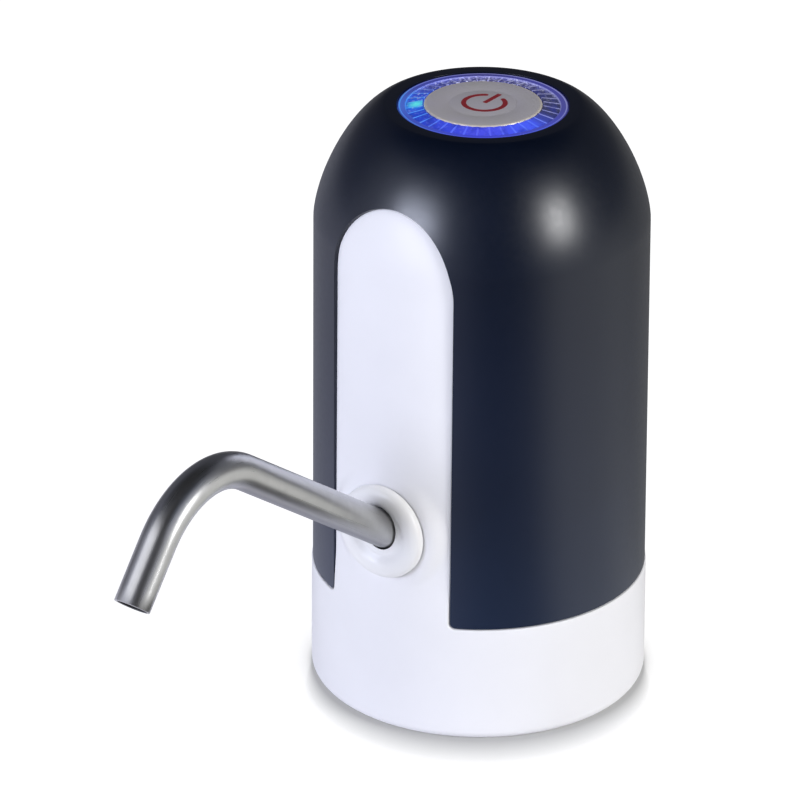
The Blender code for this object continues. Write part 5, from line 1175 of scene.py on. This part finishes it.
def button_look():
    """Grey metallic paint with a paler rim."""
    material, tree, shader = new_look("button_metal")
    cloud = ranged(tree, noise(tree, BUTTON_CLOUD_SCALE), 0.0, 1.0)
    face = blended(tree, cloud, BUTTON_GREY, BUTTON_LILAC)
    radius = flat_distance(tree, coordinates(tree))
    rim = ranged(tree, radius, 0.0, 1.0, BUTTON_RADIUS - 2.0 * BUTTON_EDGE, BUTTON_RADIUS)
    grained(tree, shader, noise(tree, GRAIN_SCALE), BUTTON_ROUGHNESS, BUTTON_GRAIN_DEPTH)
    fill(tree, shader, {"Base Color": blended(tree, rim, face, BUTTON_RIM), "Metallic": BUTTON_METAL})
    return material


def floor_lift(tree, vector):
    """Glow of the floor, dimmer in a round shade that reaches to the camera's side and at the foot."""
    ahead = (math.sin(CAMERA_AZIMUTH) * FLOOR_SHADE_SHIFT, -math.cos(CAMERA_AZIMUTH) * FLOOR_SHADE_SHIFT)
    within = reckoned(tree, "SUBTRACT", FLOOR_SHADE_RADIUS, flat_distance(tree, vector, ahead))
    within = reckoned(tree, "MAXIMUM", within, FLOOR_CONTACT_SHADE)
    beyond = reckoned(tree, "SUBTRACT", flat_distance(tree, vector), BASE_RADIUS)
    beyond = reckoned(tree, "MAXIMUM", beyond, 0.0)
    share = reckoned(tree, "DIVIDE", beyond, reckoned(tree, "ADD", beyond, within))
    return ranged(tree, share, FLOOR_LIFT_NEAR, FLOOR_LIFT_FAR, 0.0, 1.0)


def make_floor():
    """White floor that glows to the camera alone; shiny pieces mirror it by a table of their own."""
    data = bpy.data.meshes.new("floor")
    corners = [(x, y, 0.0) for x, y in rectangle(-FLOOR_REACH, -FLOOR_REACH, FLOOR_REACH, FLOOR_REACH)]
    data.from_pydata(corners, [], [(0, 1, 2, 3)])
    floor = placed("floor", data, Matrix.Translation((0.0, 0.0, BASE_BOTTOM)))
    material, tree, shader = new_look("floor_white")
    vector = coordinates(tree)
    to_camera = ray_is(tree, "Camera")
    base = blended(tree, to_camera, FLOOR_WHITE, FLOOR_SEEN)
    lift = reckoned(tree, "MULTIPLY", floor_lift(tree, vector), to_camera)
    fill(tree, shader, {"Base Color": base, "Emission Color": rgba(1.0), "Emission Strength": lift})
    fill(tree, shader, {"Roughness": 1.0, "Specular IOR Level": 0.0})
    around = colour_ramp(tree, angle_about_axis(tree, vector), FLOOR_MIRROR)
    mirrored = added(tree, "Emission", "Emission", {"Color": around})
    inputs = {"Fac": ray_is(tree, "Glossy"), 1: shader.outputs["BSDF"], 2: mirrored}
    shown = added(tree, "MixShader", "Shader", inputs)
    fill(tree, tree.nodes["Material Output"], {"Surface": shown})
    data.materials.append(material)


def make_world():
    """Studio round the object: white to the camera, an even fill, and what shiny pieces mirror."""
    world = bpy.data.worlds.new("studio")
    bpy.context.scene.world = world
    world.use_nodes = True
    tree = world.node_tree
    vector = coordinates(tree, "Generated")
    around = colour_ramp(tree, angle_about_axis(tree, vector), SKY_MIRROR)
    above = colour_ramp(tree, part_of(tree, vector, "Z"), SKY_RISE)
    mirrored = blended(tree, 1.0, around, above, "MULTIPLY")
    soft = blended(tree, ray_is(tree, "Glossy"), SKY_FILL, mirrored)
    colour = blended(tree, ray_is(tree, "Camera"), soft, 1.0)
    fill(tree, tree.nodes["Background"], {"Color": colour})


def lamps_reach(name, item, state):
    """A group that links lamps to one piece, or keeps them off it."""
    group = bpy.data.collections.new(name)
    group.objects.link(item)
    group.collection_objects[0].light_linking.link_state = state
    return group


def looking_in(turn, rise, distance):
    """A place that looks at the camera's target from a turn about Z and a rise over level."""
    turned = Matrix.Rotation(turn, 4, "Z") @ Matrix.Rotation(QUARTER_TURN - rise, 4, "X")
    return Matrix.Translation(CAMERA_TARGET) @ turned @ Matrix.Translation((0.0, 0.0, distance))


def make_light(groups, name, turn, rise, size, power, colour):
    data = bpy.data.lights.new(name, "AREA")
    data.shape = "RECTANGLE"
    data.size, data.size_y = size
    data.energy = power
    data.color = rgb(colour)
    bearing = CAMERA_AZIMUTH + math.radians(turn)
    lamp = placed(name, data, looking_in(bearing, math.radians(rise), LIGHT_DISTANCE))
    lamp.visible_glossy = name not in UNMIRRORED_LIGHTS
    lamp.light_linking.receiver_collection = groups.get(name.split("_")[0], groups["all"])


def make_camera():
    """The photograph's camera, turned a little from its target by yaw, pitch and roll."""
    data = bpy.data.cameras.new("camera")
    data.sensor_width = SENSOR_MM
    data.lens = FOCAL_PIXELS * SENSOR_MM / PICTURE_PIXELS
    place = looking_in(CAMERA_AZIMUTH, CAMERA_ELEVATION, CAMERA_DISTANCE)
    for turn, axis in ((CAMERA_YAW, "Y"), (CAMERA_PITCH, "X"), (CAMERA_ROLL, "Z")):
        place = place @ Matrix.Rotation(turn, 4, axis)
    bpy.context.scene.camera = placed("camera", data, place)


def dress_frame(looks):
    """Every CAD node takes the procedural look of its own material slot."""
    for node in nodes.values():
        for index, material in enumerate(node.data.materials):
            node.data.materials[index] = looks[material.name.split(".")[0]]


def make_diaphragm():
    """The pump's rubber plate, with its cups cut off below the lowest reach of the wobbling arms."""
    low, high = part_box("pump_diaphragm")
    data = nodes["pump_diaphragm"].data.copy()
    material = data.materials[0]
    data.materials.clear()
    rubber = piece("diaphragm_skin", data, material, "housing", "pump_diaphragm")
    radius = 0.5 * (high.x - low.x)
    bar = round_bar("arm_sweep", radius, CUP_STEM_TOP, high.z + GAP)
    axis = Matrix.Translation((0.5 * (low.x + high.x), 0.5 * (low.y + high.y), 0.0))
    cut(rubber, cutter("arm_sweep", bar, axis))


looks = make_looks()
dress_frame(looks)
make_diaphragm()
shell = make_shell(looks["shell_navy"])
make_white_body(looks["body_white"])
tube = make_tube(looks["steel_tube"], looks["steel_bore"])
make_collar(looks["collar_white"])
make_ring(looks["clear_blue"])
make_button(looks["button_metal"], looks["red_print"])
make_sleeve(looks["silicone"])
make_port_tongue(looks["black_plastic"])
make_floor()
make_world()
make_camera()
groups = {
    "all": lamps_reach("all_but_tube", tube, "EXCLUDE"),
    "shell": lamps_reach("shell_only", shell, "INCLUDE"),
    "tube": lamps_reach("tube_only", tube, "INCLUDE"),
}
for light in LIGHTS:
    make_light(groups, *light)
bpy.context.scene.view_settings.view_transform = "Standard"
